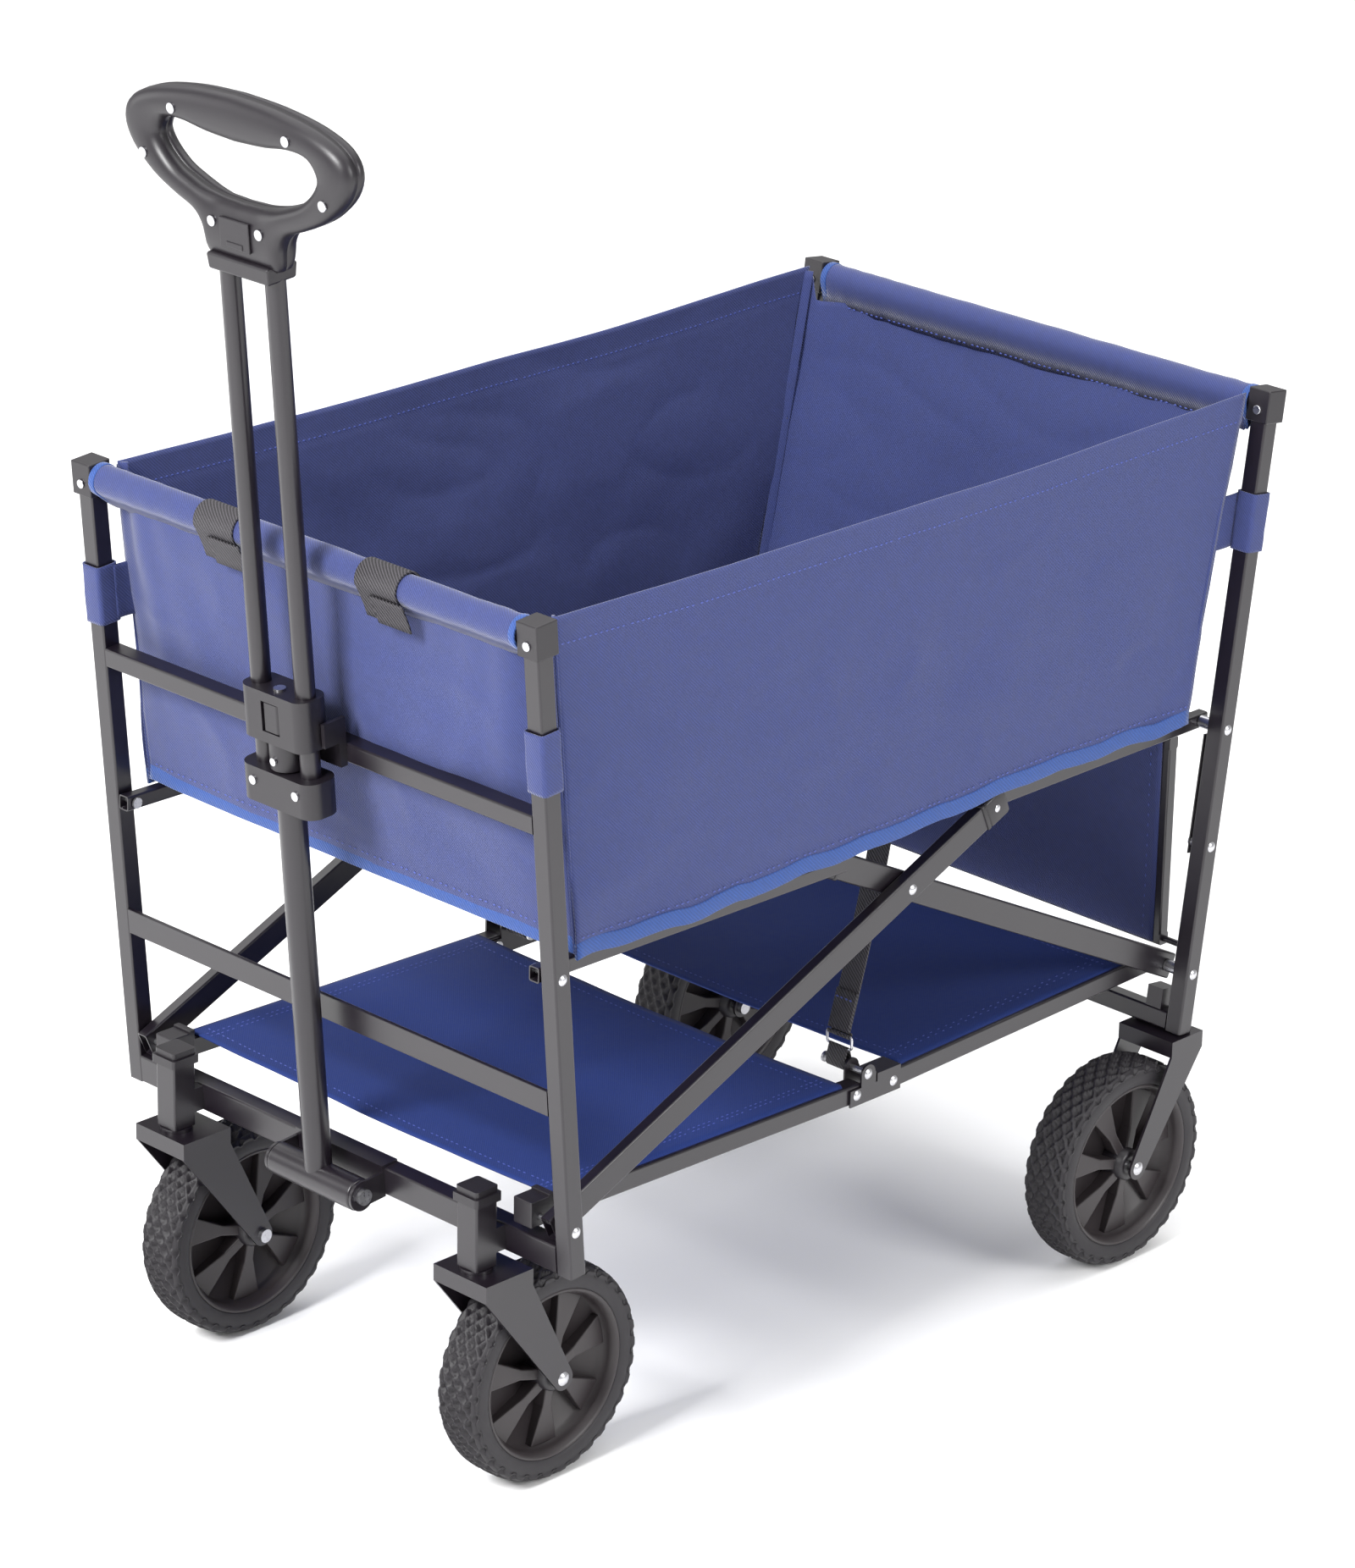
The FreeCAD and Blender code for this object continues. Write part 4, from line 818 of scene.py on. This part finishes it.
class WAGON_OT_tub_ends(WagonPiece, bpy.types.Operator):
    """Hang the front and rear cloths from their round hems"""
    bl_idname = "wagon.tub_ends"
    bl_label = "Tub ends"

    def execute(self, context):
        sizes = context.scene.wagon_sizes
        for word in ("front", "rear"):
            body = word + "_frame"
            self.word = word
            self.bar, self.inward, self.floor_y = ENDS[word]
            self.sizes = sizes
            self.hem_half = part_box("corner_caps_" + word)[1][0] - 0.0285
            points, faces = sheet_mesh(110, 56, self.panel_point)
            panel = make_piece("tub_" + word + "_panel", points, faces, "tub_twill", body)
            thicken(panel, sizes.cloth)
            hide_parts("tub_" + word + "_cloth")
            hem = self.hem(body)
            extra = [hem] + self.trim(body)
        return {"FINISHED"}

    def seam_start(self):
        """Y and Z of the hem's seam line under the crossbar."""
        return self.bar.y + self.inward * 0.0085, self.bar.z - self.sizes.hem_drop

    def panel_point(self, u, v):
        across = 2 * u - 1
        seam_y, seam_z = self.seam_start()
        corner_y, _ = seam_line(self.word, v)
        bottom_z = TUB_LOW_Z + 0.008
        share = abs(across)
        half = TUB_SIDE_X + 0.0012
        edge_from = self.hem_half / half
        lifted = ease((share - edge_from + 0.008) / 0.03)
        top_z = lerp(seam_z + 0.006, TUB_TOP_Z, lifted)
        z = lerp(top_z, bottom_z, v)
        flat_y = lerp(seam_y, self.floor_y - self.inward * 0.001, v ** 0.94)
        y = lerp(flat_y, corner_y, ease((share - 0.80) / 0.20))
        point = Vector((half * across, y, z))
        slack = (1 - share ** 4) * math.sin(math.pi * min(1.0, v * 0.97 + 0.03)) ** 0.7
        seed = 5 if self.word == "front" else 8
        ripple = (folds(point, seed, 0.10, 0.003) + drape(point, seed, 0.008)) * (0.3 + 0.7 * slack)
        pull = 0.003 * math.exp(-((1 - share) * 5 + v * 2.5)) * math.sin(38 * share + 6 * v)
        bow = 0.006 * slack
        point.y -= self.inward * (bow + ripple + pull)
        return point

    def hem_outline(self, grow=0.0):
        """The hem's closed outline about the bar, from its seam up the outside and back."""
        radius = self.sizes.hem_radius + grow
        seam_y, seam_z = self.seam_start()
        seam = Vector((0, seam_y - self.bar.y, seam_z - self.bar.z - grow * 0.6))
        reach = math.acos(radius / seam.length)
        heading = math.atan2(seam.z, seam.y)
        points = [seam]
        steps = 22
        first, last = heading + reach, heading - reach + 2 * math.pi
        for i in range(steps + 1):
            angle = lerp(first, last, i / steps)
            points.append(Vector((0, radius * math.cos(angle), radius * math.sin(angle))))
        return points

    def hem(self, body):
        """The doubled cloth round the crossbar, pinched where it is sewn."""
        outline = self.hem_outline()
        rings = 90
        points = []
        for i in range(rings + 1):
            x = lerp(-self.hem_half, self.hem_half, i / rings)
            for offset in outline:
                at = Vector((x, 0, 0)) + offset
                swell = 1 + folds(at, 4, 0.035,
                                  0.055) + 0.03 * math.sin(i * 1.7) * (abs(x) / self.hem_half) ** 6
                points.append(Vector((x, self.bar.y, self.bar.z)) + offset * swell)
        faces = ring_faces(rings + 1, len(outline), capped=False)
        hem = make_piece("tub_" + self.word + "_hem", points, faces, "tub_twill", body)
        thicken(hem, 0.0012, 1.0)
        return hem

    def trim(self, body):
        """Stitches, the bound hem ends, the bound lower edge and the corner tapes."""
        made = []
        seam_y, seam_z = self.seam_start()
        for face, label in ((-1, "out"), (1, "in")):
            out = Vector((0, face * self.inward, 0))
            y = seam_y + face * self.inward * 0.0026
            path = [Vector((x / 1000, y, seam_z + 0.002)) for x in range(-252, 253, 12)]
            made.append(stitch_row("tub_" + self.word + "_hem_stitches_" + label, path, out, body))
            path = [self.panel_point(i / 100, 0.945) + out * 0.0018 for i in range(2, 99)]
            made.append(stitch_row("tub_" + self.word + "_tape_stitches_" + label, path, out, body))
        path = []
        for i in range(101):
            foot, above = self.panel_point(i / 100, 1.0), self.panel_point(i / 100, 0.93)
            path.append(foot + (above - foot).normalized() * (self.sizes.tape_width / 2 - 0.003))
        made.append(strip("tub_" + self.word + "_tape", path, lambda i: Vector((0, 0, 1)),
                          self.sizes.tape_width,
                          0.0034, "tape", body))
        for side, label in ((-1, "left"), (1, "right")):
            outline = [p + Vector((side * self.hem_half, self.bar.y,
                                   self.bar.z)) for p in self.hem_outline(0.0012)]
            made.append(strip("hem_end_tape_" + self.word + "_" + label, outline,
                              lambda i: Vector((1, 0, 0)),
                              0.007, 0.0022, "tape", body, closed=True))
            path = []
            for i in range(41):
                y, z = seam_line(self.word, i / 40)
                x = TUB_SIDE_X - 0.001
                path.append(Vector((side * x, y + self.inward * 0.003, z)))
            made.append(strip("corner_tape_" + self.word + "_" + label, path,
                              lambda i: Vector((side, -1, 0)),
                              0.009, 0.0032, "tub_twill", body))
        return made


class WAGON_OT_tub_floor(WagonPiece, bpy.types.Operator):
    """Lay the tub's cloth floor and the two covered boards that fold with the side rails"""
    bl_idname = "wagon.tub_floor"
    bl_label = "Tub floor"

    def execute(self, context):
        self.soft_floor(context.scene.wagon_sizes.cloth)
        for word in ("front", "rear"):
            self.board(word)
        return {"FINISHED"}

    def soft_floor(self, cloth):
        """The cloth between the four walls, with faint wrinkles; it rides on the front frame with the sides."""
        half = TUB_SIDE_X - 0.003
        start, end = ENDS["front"][2] + 0.002, ENDS["rear"][2] - 0.002
        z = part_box("tub_floor_front")[0][2] - 0.0026

        def place(u, v):
            point = Vector((lerp(-half, half, u), lerp(start, end, v), z))
            point.z += folds(point, 6, 0.12, 0.0009)
            return point

        points, faces = sheet_mesh(50, 80, place)
        floor = make_piece("tub_floor_cloth", points, faces, "tub_twill", "front_frame")
        thicken(floor, cloth)
        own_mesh(floor)

    def board(self, word):
        """A thin board in a cloth cover with bound edges and a quilting line."""
        node = "tub_floor_" + word
        body = "side_rails_" + word
        low, high = (Vector(c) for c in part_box(node))
        thickness = high.z - low.z
        half = high.x - 0.001
        start, end = low.y, high.y

        def place(u, v):
            edge = min(u, 1 - u, v, 1 - v) * 16
            crown = thickness * (0.5 + 0.5 * ease(edge))
            point = Vector((lerp(-half, half, u), lerp(start, end, v), low.z + crown))
            point.z += folds(point, 6, 0.09, 0.0004)
            return point

        points, faces = sheet_mesh(60, 50, place)
        cover = make_piece("floor_cover_" + word, points, faces, "tub_twill", body)
        thicken(cover, 0.003, -1.0)
        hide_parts(node)
        for edge, label in ((start, "a"), (end, "b")):
            path = [Vector((lerp(-half, half, i / 40), edge,
                            low.z + thickness / 2)) for i in range(41)]
            strip("floor_tape_" + word + "_" + label, path,
                               lambda i: Vector((0, 1, 0)), 0.014,
                               thickness + 0.001, "tape", body)
        for share in (0.06, 0.5, 0.94):
            y = lerp(start, end, share)
            line = [Vector((lerp(-half + 0.01, half - 0.01, i / 40), y,
                            high.z + 0.0003)) for i in range(41)]
            label = "floor_stitches_" + word + "_" + str(round(share * 100))
            stitch_row(label, line, Vector((0, 0, 1)), body)


class WAGON_OT_post_sleeves(WagonPiece, bpy.types.Operator):
    """Wrap the cloth sleeves that tie the tub to its four posts"""
    bl_idname = "wagon.post_sleeves"
    bl_label = "Post sleeves"

    def execute(self, context):
        sizes = context.scene.wagon_sizes
        ends = (("front", FRONT_LOW, FRONT_UP, 1), ("rear", REAR_LOW, REAR_UP, -1))
        for word, low, up, inward in ends:
            for side, label in ((-1, "left"), (1, "right")):
                centre = on_post(low, up, sizes.sleeve_place)
                centre.x = side * POST_X
                self.sleeve(word + "_" + label, centre, up, side, inward, word + "_frame", sizes)
        return {"FINISHED"}

    def sleeve(self, name, centre, up, side, inward, body, sizes):
        """A band round the post, and the tongue that joins it to the tub's corner."""
        back = Vector((0, up.z, -up.y)) * inward
        section = rounded_section(0.0222, 0.0222, 0.0035, 4)
        rings = 18
        points = []
        for i in range(rings + 1):
            rise = lerp(-0.5, 0.5, i / rings) * sizes.sleeve_height
            for a, b in section:
                at = centre + up * rise + Vector((a, 0, 0)) + back * b
                crease = 1 + folds(at, 2, 0.02, 0.035)
                points.append(centre + up * rise + Vector((a * crease, 0, 0)) + back * (b * crease))
        faces = ring_faces(rings + 1, len(section), capped=False)
        band = make_piece("post_sleeve_" + name, points, faces, "tub_twill", body)
        thicken(band, 0.0012, 0.0)

        def tongue(u, v):
            rise = lerp(-0.46, 0.46, v) * sizes.sleeve_height
            start = centre + up * rise + Vector((-side * 0.0112, 0, 0)) + back * 0.006
            height_share = (TUB_TOP_Z - start.z) / (TUB_TOP_Z - TUB_LOW_Z)
            seam_y, _ = seam_line(body.split("_")[0], height_share)
            finish = Vector((side * (TUB_SIDE_X - 0.003), seam_y + inward * 0.004, start.z))
            return start.lerp(finish, u) + Vector((side * 0.0012 * math.sin(math.pi * u), 0, 0))

        points, faces = sheet_mesh(8, 10, tongue)
        flap = make_piece("sleeve_tongue_" + name, points, faces, "tub_twill", body)
        thicken(flap, 0.0016)


class WAGON_OT_hem_straps(WagonPiece, bpy.types.Operator):
    """Wrap the two black hook-and-loop straps over the front hem"""
    bl_idname = "wagon.hem_straps"
    bl_label = "Hem straps"

    def execute(self, context):
        sizes = context.scene.wagon_sizes
        bar = middle("front_top_crossbar")
        radius = sizes.hem_radius + 0.0026
        for side, label in ((-1, "left"), (1, "right")):
            x = side * sizes.strap_place
            path = [Vector((x, bar.y + 0.0115, bar.z - 0.028))]
            for i in range(19):
                angle = math.radians(lerp(-12, 192, i / 18))
                path.append(Vector((x, bar.y + radius * math.cos(angle),
                                    bar.z + radius * math.sin(angle))))
            path.append(Vector((x, bar.y - 0.0098, bar.z - 0.012)))
            path.append(Vector((x, bar.y - 0.0042, bar.z - 0.024)))
            path.append(Vector((x, bar.y - 0.0005, bar.z - 0.034)))
            path = self.rounder(path)
            strip("hem_strap_" + label, path, lambda i: Vector((1, 0, 0)), sizes.strap_width,
                  0.0022, "webbing",
                  "front_frame")
            tail = [Vector((x + 0.012, p.y - 0.0026, p.z - 0.002)) for p in path[-6:]]
            strip("hem_strap_tail_" + label, tail, lambda i: Vector((1, 0, 0)),
                  sizes.strap_width * 0.8, 0.0018,
                  "webbing", "front_frame")
        return {"FINISHED"}

    def rounder(self, path):
        """The same route with a point between each two."""
        made = []
        for here, there in zip(path, path[1:]):
            made += [here, (here + there) / 2]
        return made + [path[-1]]


# ----------------------------------------------------------------- lower deck

class WAGON_OT_deck_cloth(WagonPiece, bpy.types.Operator):
    """Stretch the two deck cloths over their tubes"""
    bl_idname = "wagon.deck_cloth"
    bl_label = "Deck cloths"

    def execute(self, context):
        for word in ("front", "rear"):
            self.deck(word)
        return {"FINISHED"}

    def deck(self, word):
        node = "deck_" + word + "_cloth"
        low, high = (Vector(c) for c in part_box(node))
        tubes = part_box("deck_" + word + "_rails")
        half = high.x + 0.004
        inner = tubes[1][0] - 0.018
        slope = (high.z - low.z - 0.002) / (high.y - low.y) * (-1 if word == "front" else 1)
        mid_y, mid_z = (low.y + high.y) / 2, (low.z + high.z) / 2

        def place(u, v):
            across = 2 * u - 1
            x, y = half * across, lerp(low.y, high.y, v)
            z = mid_z + slope * (y - mid_y)
            reach = abs(x)
            if reach < inner:
                share = 1 - (reach / inner) ** 2
                z -= 0.007 * share * (0.5 + 0.5 * math.sin(math.pi * v)) + folds(Vector((x, y, 0)), 1, 0.13, 0.002) * share
            if reach > high.x:
                z -= (reach - high.x) * 1.5
            z += 0.0008 * (1 - ease(min(v, 1 - v) / 0.035))
            return Vector((x, y, z))

        points, faces = sheet_mesh(90, 50, place)
        cloth = make_piece(node + "_sheet", points, faces, "deck_canvas", "deck_" + word)
        thicken(cloth, 0.0017)
        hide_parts(node)
        up = Vector((0, 0, 1))
        for side in SIDES:
            for inset in (0.021, 0.027):
                u = 0.5 + side * (0.5 - inset / (2 * half))
                path = [place(u, i / 60) + up * 0.0010 for i in range(1, 60)]
                label = "deck_stitches_" + word + ("_right_" if side > 0 else "_left_") + str(round(inset * 1000))
                stitch_row(label, path, up, "deck_" + word, size=0.0008)
        for v, label in ((0.045, "a"), (0.955, "b")):
            path = [place(i / 80, v) + up * 0.0010 for i in range(2, 79)]
            stitch_row("deck_end_stitches_" + word + "_" + label, path, up,
                                   "deck_" + word, size=0.0008)


class WAGON_OT_tailgate_cloth(WagonPiece, bpy.types.Operator):
    """Stretch the tailgate's cloth round its frame"""
    bl_idname = "wagon.tailgate_cloth"
    bl_label = "Tailgate cloth"

    def execute(self, context):
        low, high = (Vector(c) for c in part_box("tailgate_cloth"))
        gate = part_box("tailgate_frame")
        face = gate[0][1] - 0.0013

        def place(u, v):
            across = 2 * u - 1
            x = lerp(low.x - 0.004, high.x + 0.004, u)
            z = lerp(high.z + 0.010, low.z - 0.010, v)
            bow = 0.004 * (1 - across ** 2) * math.sin(math.pi * v)
            return Vector((x, face + bow + folds(Vector((x, 0, z)), 7, 0.1, 0.0014), z))

        points, faces = sheet_mesh(70, 36, place)
        cloth = make_piece("tailgate_cloth_sheet", points, faces, "tub_twill", "tailgate")
        thicken(cloth, 0.0016, 1.0)
        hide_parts("tailgate_cloth")
        for u in (0.025, 0.975):
            for out in SIDES:
                path = [place(u, i / 40) + Vector((0, out * 0.0018, 0)) for i in range(1, 40)]
                label = "tailgate_stitches_" + str(round(u * 1000)) + ("_in" if out > 0 else "_out")
                stitch_row(label, path, Vector((0, out, 0)), "tailgate")
        return {"FINISHED"}


class WAGON_OT_pull_straps(WagonPiece, bpy.types.Operator):
    """Thread the herringbone pull straps and their wire rings over the centre hinges"""
    bl_idname = "wagon.pull_straps"
    bl_label = "Pull straps"

    def execute(self, context):
        high = Vector(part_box("pull_straps")[1])
        ring_low, ring_high = (Vector(c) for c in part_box("strap_rings"))
        ring_y, ring_z = (ring_low.y + ring_high.y) / 2, (ring_low.z + ring_high.z) / 2
        width = 0.025
        x_mid = high.x - width / 2
        for side, label in ((-1, "left"), (1, "right")):
            x = side * x_mid
            self.webbing(x, label, ring_y, ring_z, high, width, replace=side < 0)
            self.ring(x, label, ring_y, ring_z, width, replace=side < 0)
        return {"FINISHED"}

    def webbing(self, x, label, ring_y, ring_z, high, width, replace):
        wide = lambda i: Vector((1, 0, 0))
        foot = Vector((x, ring_y, ring_z + 0.0105))
        top = Vector((x, high.y - 0.001, high.z + 0.001))
        path = [foot.lerp(top,
                          i / 30) + Vector((0, 0.003 * math.sin(math.pi * i / 30),
                                            0)) for i in range(31)]
        strap = strip("pull_strap_" + label, path, wide, width, 0.0018, "webbing", "deck_hinge")
        if replace:
            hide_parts("pull_straps")
        # The strap's end folds through the ring and is sewn back on itself.
        fold = [p + Vector((0, -0.0022, 0)) for p in path[:6]]
        strip("strap_fold_" + label, fold, wide, width, 0.0018, "webbing", "deck_hinge")
        eye = []
        for i in range(13):
            angle = math.radians(lerp(-30, 210, i / 12))
            eye.append(Vector((x, ring_y + 0.0028 * math.cos(angle),
                               ring_z + 0.0072 - 0.0028 * math.sin(angle))))
        strip("strap_eye_" + label, eye, wide, width, 0.0016, "webbing", "deck_hinge")
        sewn = [path[4] + Vector((d / 1000, -0.0034, 0)) for d in range(-11, 12, 11)]
        stitch_row("strap_stitches_" + label, sewn, Vector((0, -1, 0)), "deck_hinge", 0.004, 0.0012,
                   0.0011)
        bolt_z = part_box("deck_hinge_pins")[1][2] - 0.005
        loop = []
        for i in range(28):
            angle = 2 * math.pi * i / 28
            y = ring_y + 0.0046 * math.cos(angle)
            rise = math.sin(angle)
            z = bolt_z + 0.0046 * rise if rise < 0 else lerp(bolt_z, ring_z - 0.0052, rise ** 0.8)
            loop.append(Vector((x,
                                y if rise < 0 else lerp(y, ring_y + 0.002 * math.cos(angle),
                                                        rise), z)))
        strip("strap_loop_" + label, loop, wide, width * 0.92, 0.0016, "webbing", "deck_hinge",
              closed=True)

    def ring(self, x, label, y, z, width, replace):
        """A rectangular ring bent from 2.6 mm wire."""
        half, tall, corner = (width + 0.005) / 2, 0.0125 / 2, 0.003
        route = []
        for quarter, (sx, sz) in enumerate([(1, 1), (-1, 1), (-1, -1), (1, -1)]):
            for step in range(5):
                angle = math.radians(90 * (quarter + step / 4))
                route.append(Vector((x + sx * (half - corner) + corner * math.cos(angle), y,
                                     z + sz * (tall - corner) + corner * math.sin(angle))))
        section = [(0.0013 * math.cos(2 * math.pi * i / 10),
                    0.0013 * math.sin(2 * math.pi * i / 10)) for i in range(10)]
        points, faces = sweep(route, lambda i: Vector((0, 1, 0)), section, closed=True)
        wire = make_piece("strap_ring_wire_" + label, points, faces, "zinc_plated_steel",
                          "deck_hinge")
        if replace:
            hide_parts("strap_rings")


# ------------------------------------------------------------- tube end pieces

class WAGON_OT_end_plugs(WagonPiece, bpy.types.Operator):
    """Cap the scissor tubes and the deck tubes with their moulded ends"""
    bl_idname = "wagon.end_plugs"
    bl_label = "End plugs"

    def execute(self, context):
        rivets_a, rivets_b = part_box("scissor_a_rivets"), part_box("scissor_b_rivets")
        top_a = Vector((0, rivets_a[1][1] - 0.005, rivets_a[1][2] - 0.005))
        top_b = Vector((0, rivets_b[0][1] + 0.005, rivets_b[1][2] - 0.005))
        ends = (("scissor_a", pivot("scissor_a_pivot"), top_a, "scissor_a_tubes"),
                ("scissor_b", pivot("scissor_b_pivot"), top_b, "scissor_b_tubes"))
        for body, low, top, node in ends:
            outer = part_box(node)[1][0]
            x = outer - 0.006
            along = (top - low).normalized()
            for side, label in ((-1, "left"), (1, "right")):
                centre = Vector((side * x, top.y, top.z))
                self.plug(body + "_plug_" + label, centre, along, body)
        self.blocks()
        return {"FINISHED"}

    def plug(self, name, centre, along, body):
        """A cap over the tube's end with a grooved collar."""
        stations = [(-0.017, 0.0004), (-0.0165, 0.0013), (-0.013, 0.0013), (-0.0125, 0.0005),
                    (-0.0115, 0.0005),
                    (-0.011, 0.0012), (0.010, 0.0012), (0.0135, 0.0004), (0.0142, -0.002)]
        path = [centre + along * s for s, _ in stations]
        normal = Vector((1, 0, 0)).cross(along)
        points = []
        for at, (_, grow) in zip(path, stations):
            for a, b in rounded_section(0.012 + 2 * grow, 0.025 + 2 * grow, 0.0026, 3):
                points.append(at + Vector((a, 0, 0)) + normal * b)
        size = len(rounded_section(1, 1, 0.1, 3))
        plug = make_piece(name, points, ring_faces(len(stations), size), "moulded_plastic", body)
        soften(plug, 0.0004, 2, 40)

    def blocks(self):
        """Blocks on the deck tubes' pivot ends, each with a slot on its top."""
        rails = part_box("deck_front_rails")
        x_mid = rails[1][0] - POST_HALF
        for side, label in ((-1, "left"), (1, "right")):
            centre = Vector((side * x_mid, FRONT_LOW.y + 0.003, FRONT_LOW.z + 0.0035))
            points, faces = box_mesh(centre, (0.0225, 0.028, 0.0245))
            block = make_piece("deck_pivot_block_" + label, points, faces, "moulded_plastic",
                               "deck_front", False)
            soften(block, 0.0014, 3)
            points, faces = box_mesh(centre + Vector((0, 0.0105, 0.0125)), (0.0225, 0.007, 0.004))
            lug = make_piece("deck_pivot_lug_" + label, points, faces, "moulded_plastic",
                             "deck_front", False)
            soften(lug, 0.001, 2)


# -------------------------------------------------------------- carried nodes

class WAGON_OT_frame_finish(WagonPiece, bpy.types.Operator):
    """Finish the steel, zinc and moulded parts that keep their own shape"""
    bl_idname = "wagon.frame_finish"
    bl_label = "Frame finishes"

    ROUNDED = {
        "corner_caps_front": 0.0014, "corner_caps_rear": 0.0014, "stem_snap_caps": 0.0012,
        "handle_latch_block": 0.0016, "handle_slider_block": 0.0022, "handle_clip": 0.0014,
        "lock_button": 0.0012, "caster_fork_left": 0.0022, "caster_fork_right": 0.0022,
        "rear_forks": 0.0018, "handle_bracket": 0.0009, "deck_hinge_brackets": 0.0006,
        "front_mid_bar": 0.0008, "caster_stems": 0.0008, "tailgate_stays": 0.0004,
        "handle_lower_tube": 0.0006,
    }

    def execute(self, context):
        slots = {part["node"]: part["material_slot"] for part in frame["record"]["subparts"]}
        for name, obj in frame["nodes"].items():
            obj.data.materials.clear()
            obj.data.materials.append(finish_of(slots[name]))
            for face in obj.data.polygons:
                face.use_smooth = True
            if name in self.ROUNDED:
                soften(obj, self.ROUNDED[name], 3)
            obj.modifiers.new("even shading", "WEIGHTED_NORMAL").keep_sharp = False
        return {"FINISHED"}


# ---------------------------------------------------------------------- stage

class WAGON_OT_stage(WagonPiece, bpy.types.Operator):
    """Lay the pale floor, set the soft lights and place the camera"""
    bl_idname = "wagon.stage"
    bl_label = "Stage"

    def execute(self, context):
        context.scene.view_settings.view_transform = "Standard"
        self.floor()
        self.lights()
        self.camera(context)
        return {"FINISHED"}

    def floor(self):
        """A flat, smooth painted studio floor."""
        points, faces = sheet_mesh(8, 8, lambda u, v: Vector((lerp(-9, 9, u), lerp(-9, 9, v), 0)))
        mesh = bpy.data.meshes.new("studio_floor")
        mesh.from_pydata([tuple(p) for p in points], [], faces)
        floor = bpy.data.objects.new("studio_floor", mesh)
        bpy.context.scene.collection.objects.link(floor)
        material, tree, shader = start_material("studio floor paint", Roughness=0.75)
        tint(tree, shader, grain(tree, 900), linear("#F4F4F4"), linear("#FAFAFA"))
        mesh.materials.append(material)

    def lights(self):
        world = bpy.data.worlds.new("studio")
        bpy.context.scene.world = world
        world.use_nodes = True
        world.node_tree.nodes["Background"].inputs["Color"].default_value = (*linear("#FFFFFF"), 1)
        world.node_tree.nodes["Background"].inputs["Strength"].default_value = 0.55
        lamps = (("key", (0.2, -4.4, 3.6), 1.6, 400), ("fill", (4.5, 0.5, 2.6), 1.8, 130),
                 ("top", (-1.0, 1.0, 6.0), 9.0, 420), ("low", (-3.8, -2.5, 1.6), 2.0, 40))
        target = Vector((0, 0, 0.55))
        for name, place, size, power in lamps:
            light = bpy.data.lights.new("soft_" + name, "AREA")
            light.size = size
            light.energy = power
            lamp = bpy.data.objects.new("soft_" + name, light)
            lamp.location = place
            lamp.rotation_euler = (target - Vector(place)).to_track_quat("-Z", "Y").to_euler()
            bpy.context.scene.collection.objects.link(lamp)

    def camera(self, context):
        """A long lens from the right front, above the tub's rim."""
        view = bpy.data.cameras.new("view")
        view.lens = 134.95
        view.sensor_width = 36.0
        view.shift_x, view.shift_y = 0.057, 0.0252
        view.clip_end = 60
        eye = bpy.data.objects.new("view", view)
        forward = Vector((-0.6586, 0.6536, -0.3729)).normalized()
        right = Vector((0.7010, 0.7131, 0.0119))
        right = (right - forward * right.dot(forward)).normalized()
        up = right.cross(forward)
        basis = [[right[i], up[i], -forward[i]] for i in range(3)]
        eye.matrix_world = Matrix(basis).to_4x4()
        eye.location = Vector((3.488, -3.551, 2.463))
        context.scene.collection.objects.link(eye)
        context.scene.camera = eye


PIECES = (WAGON_OT_frame_finish, WAGON_OT_tyres, WAGON_OT_rims, WAGON_OT_grip, WAGON_OT_tub_sides,
          WAGON_OT_tub_ends, WAGON_OT_tub_floor, WAGON_OT_post_sleeves, WAGON_OT_hem_straps,
          WAGON_OT_deck_cloth, WAGON_OT_tailgate_cloth, WAGON_OT_pull_straps, WAGON_OT_end_plugs,
          WAGON_OT_stage)


class WAGON_PT_panel(bpy.types.Panel):
    """Lists the wagon's pieces, sizes and colours"""
    bl_idname = "WAGON_PT_panel"
    bl_label = "Wagon"
    bl_space_type = "VIEW_3D"
    bl_region_type = "UI"
    bl_category = "Wagon"

    def draw(self, context):
        for group in (context.scene.wagon_sizes, context.scene.wagon_colours):
            box = self.layout.box()
            for name in group.__annotations__:
                box.prop(group, name)
        for piece in PIECES:
            self.layout.operator(piece.bl_idname)


CLASSES = (WagonSizes, WagonColours) + PIECES + (WAGON_PT_panel,)


def register():
    for kind in CLASSES:
        bpy.utils.register_class(kind)
    bpy.types.Scene.wagon_sizes = PointerProperty(type=WagonSizes)
    bpy.types.Scene.wagon_colours = PointerProperty(type=WagonColours)


def unregister():
    del bpy.types.Scene.wagon_colours
    del bpy.types.Scene.wagon_sizes
    for kind in reversed(CLASSES):
        bpy.utils.unregister_class(kind)


def main():
    register()
    for piece in PIECES:
        group, name = piece.bl_idname.split(".")
        getattr(getattr(bpy.ops, group), name)()


if __name__ == "__main__":
    main()
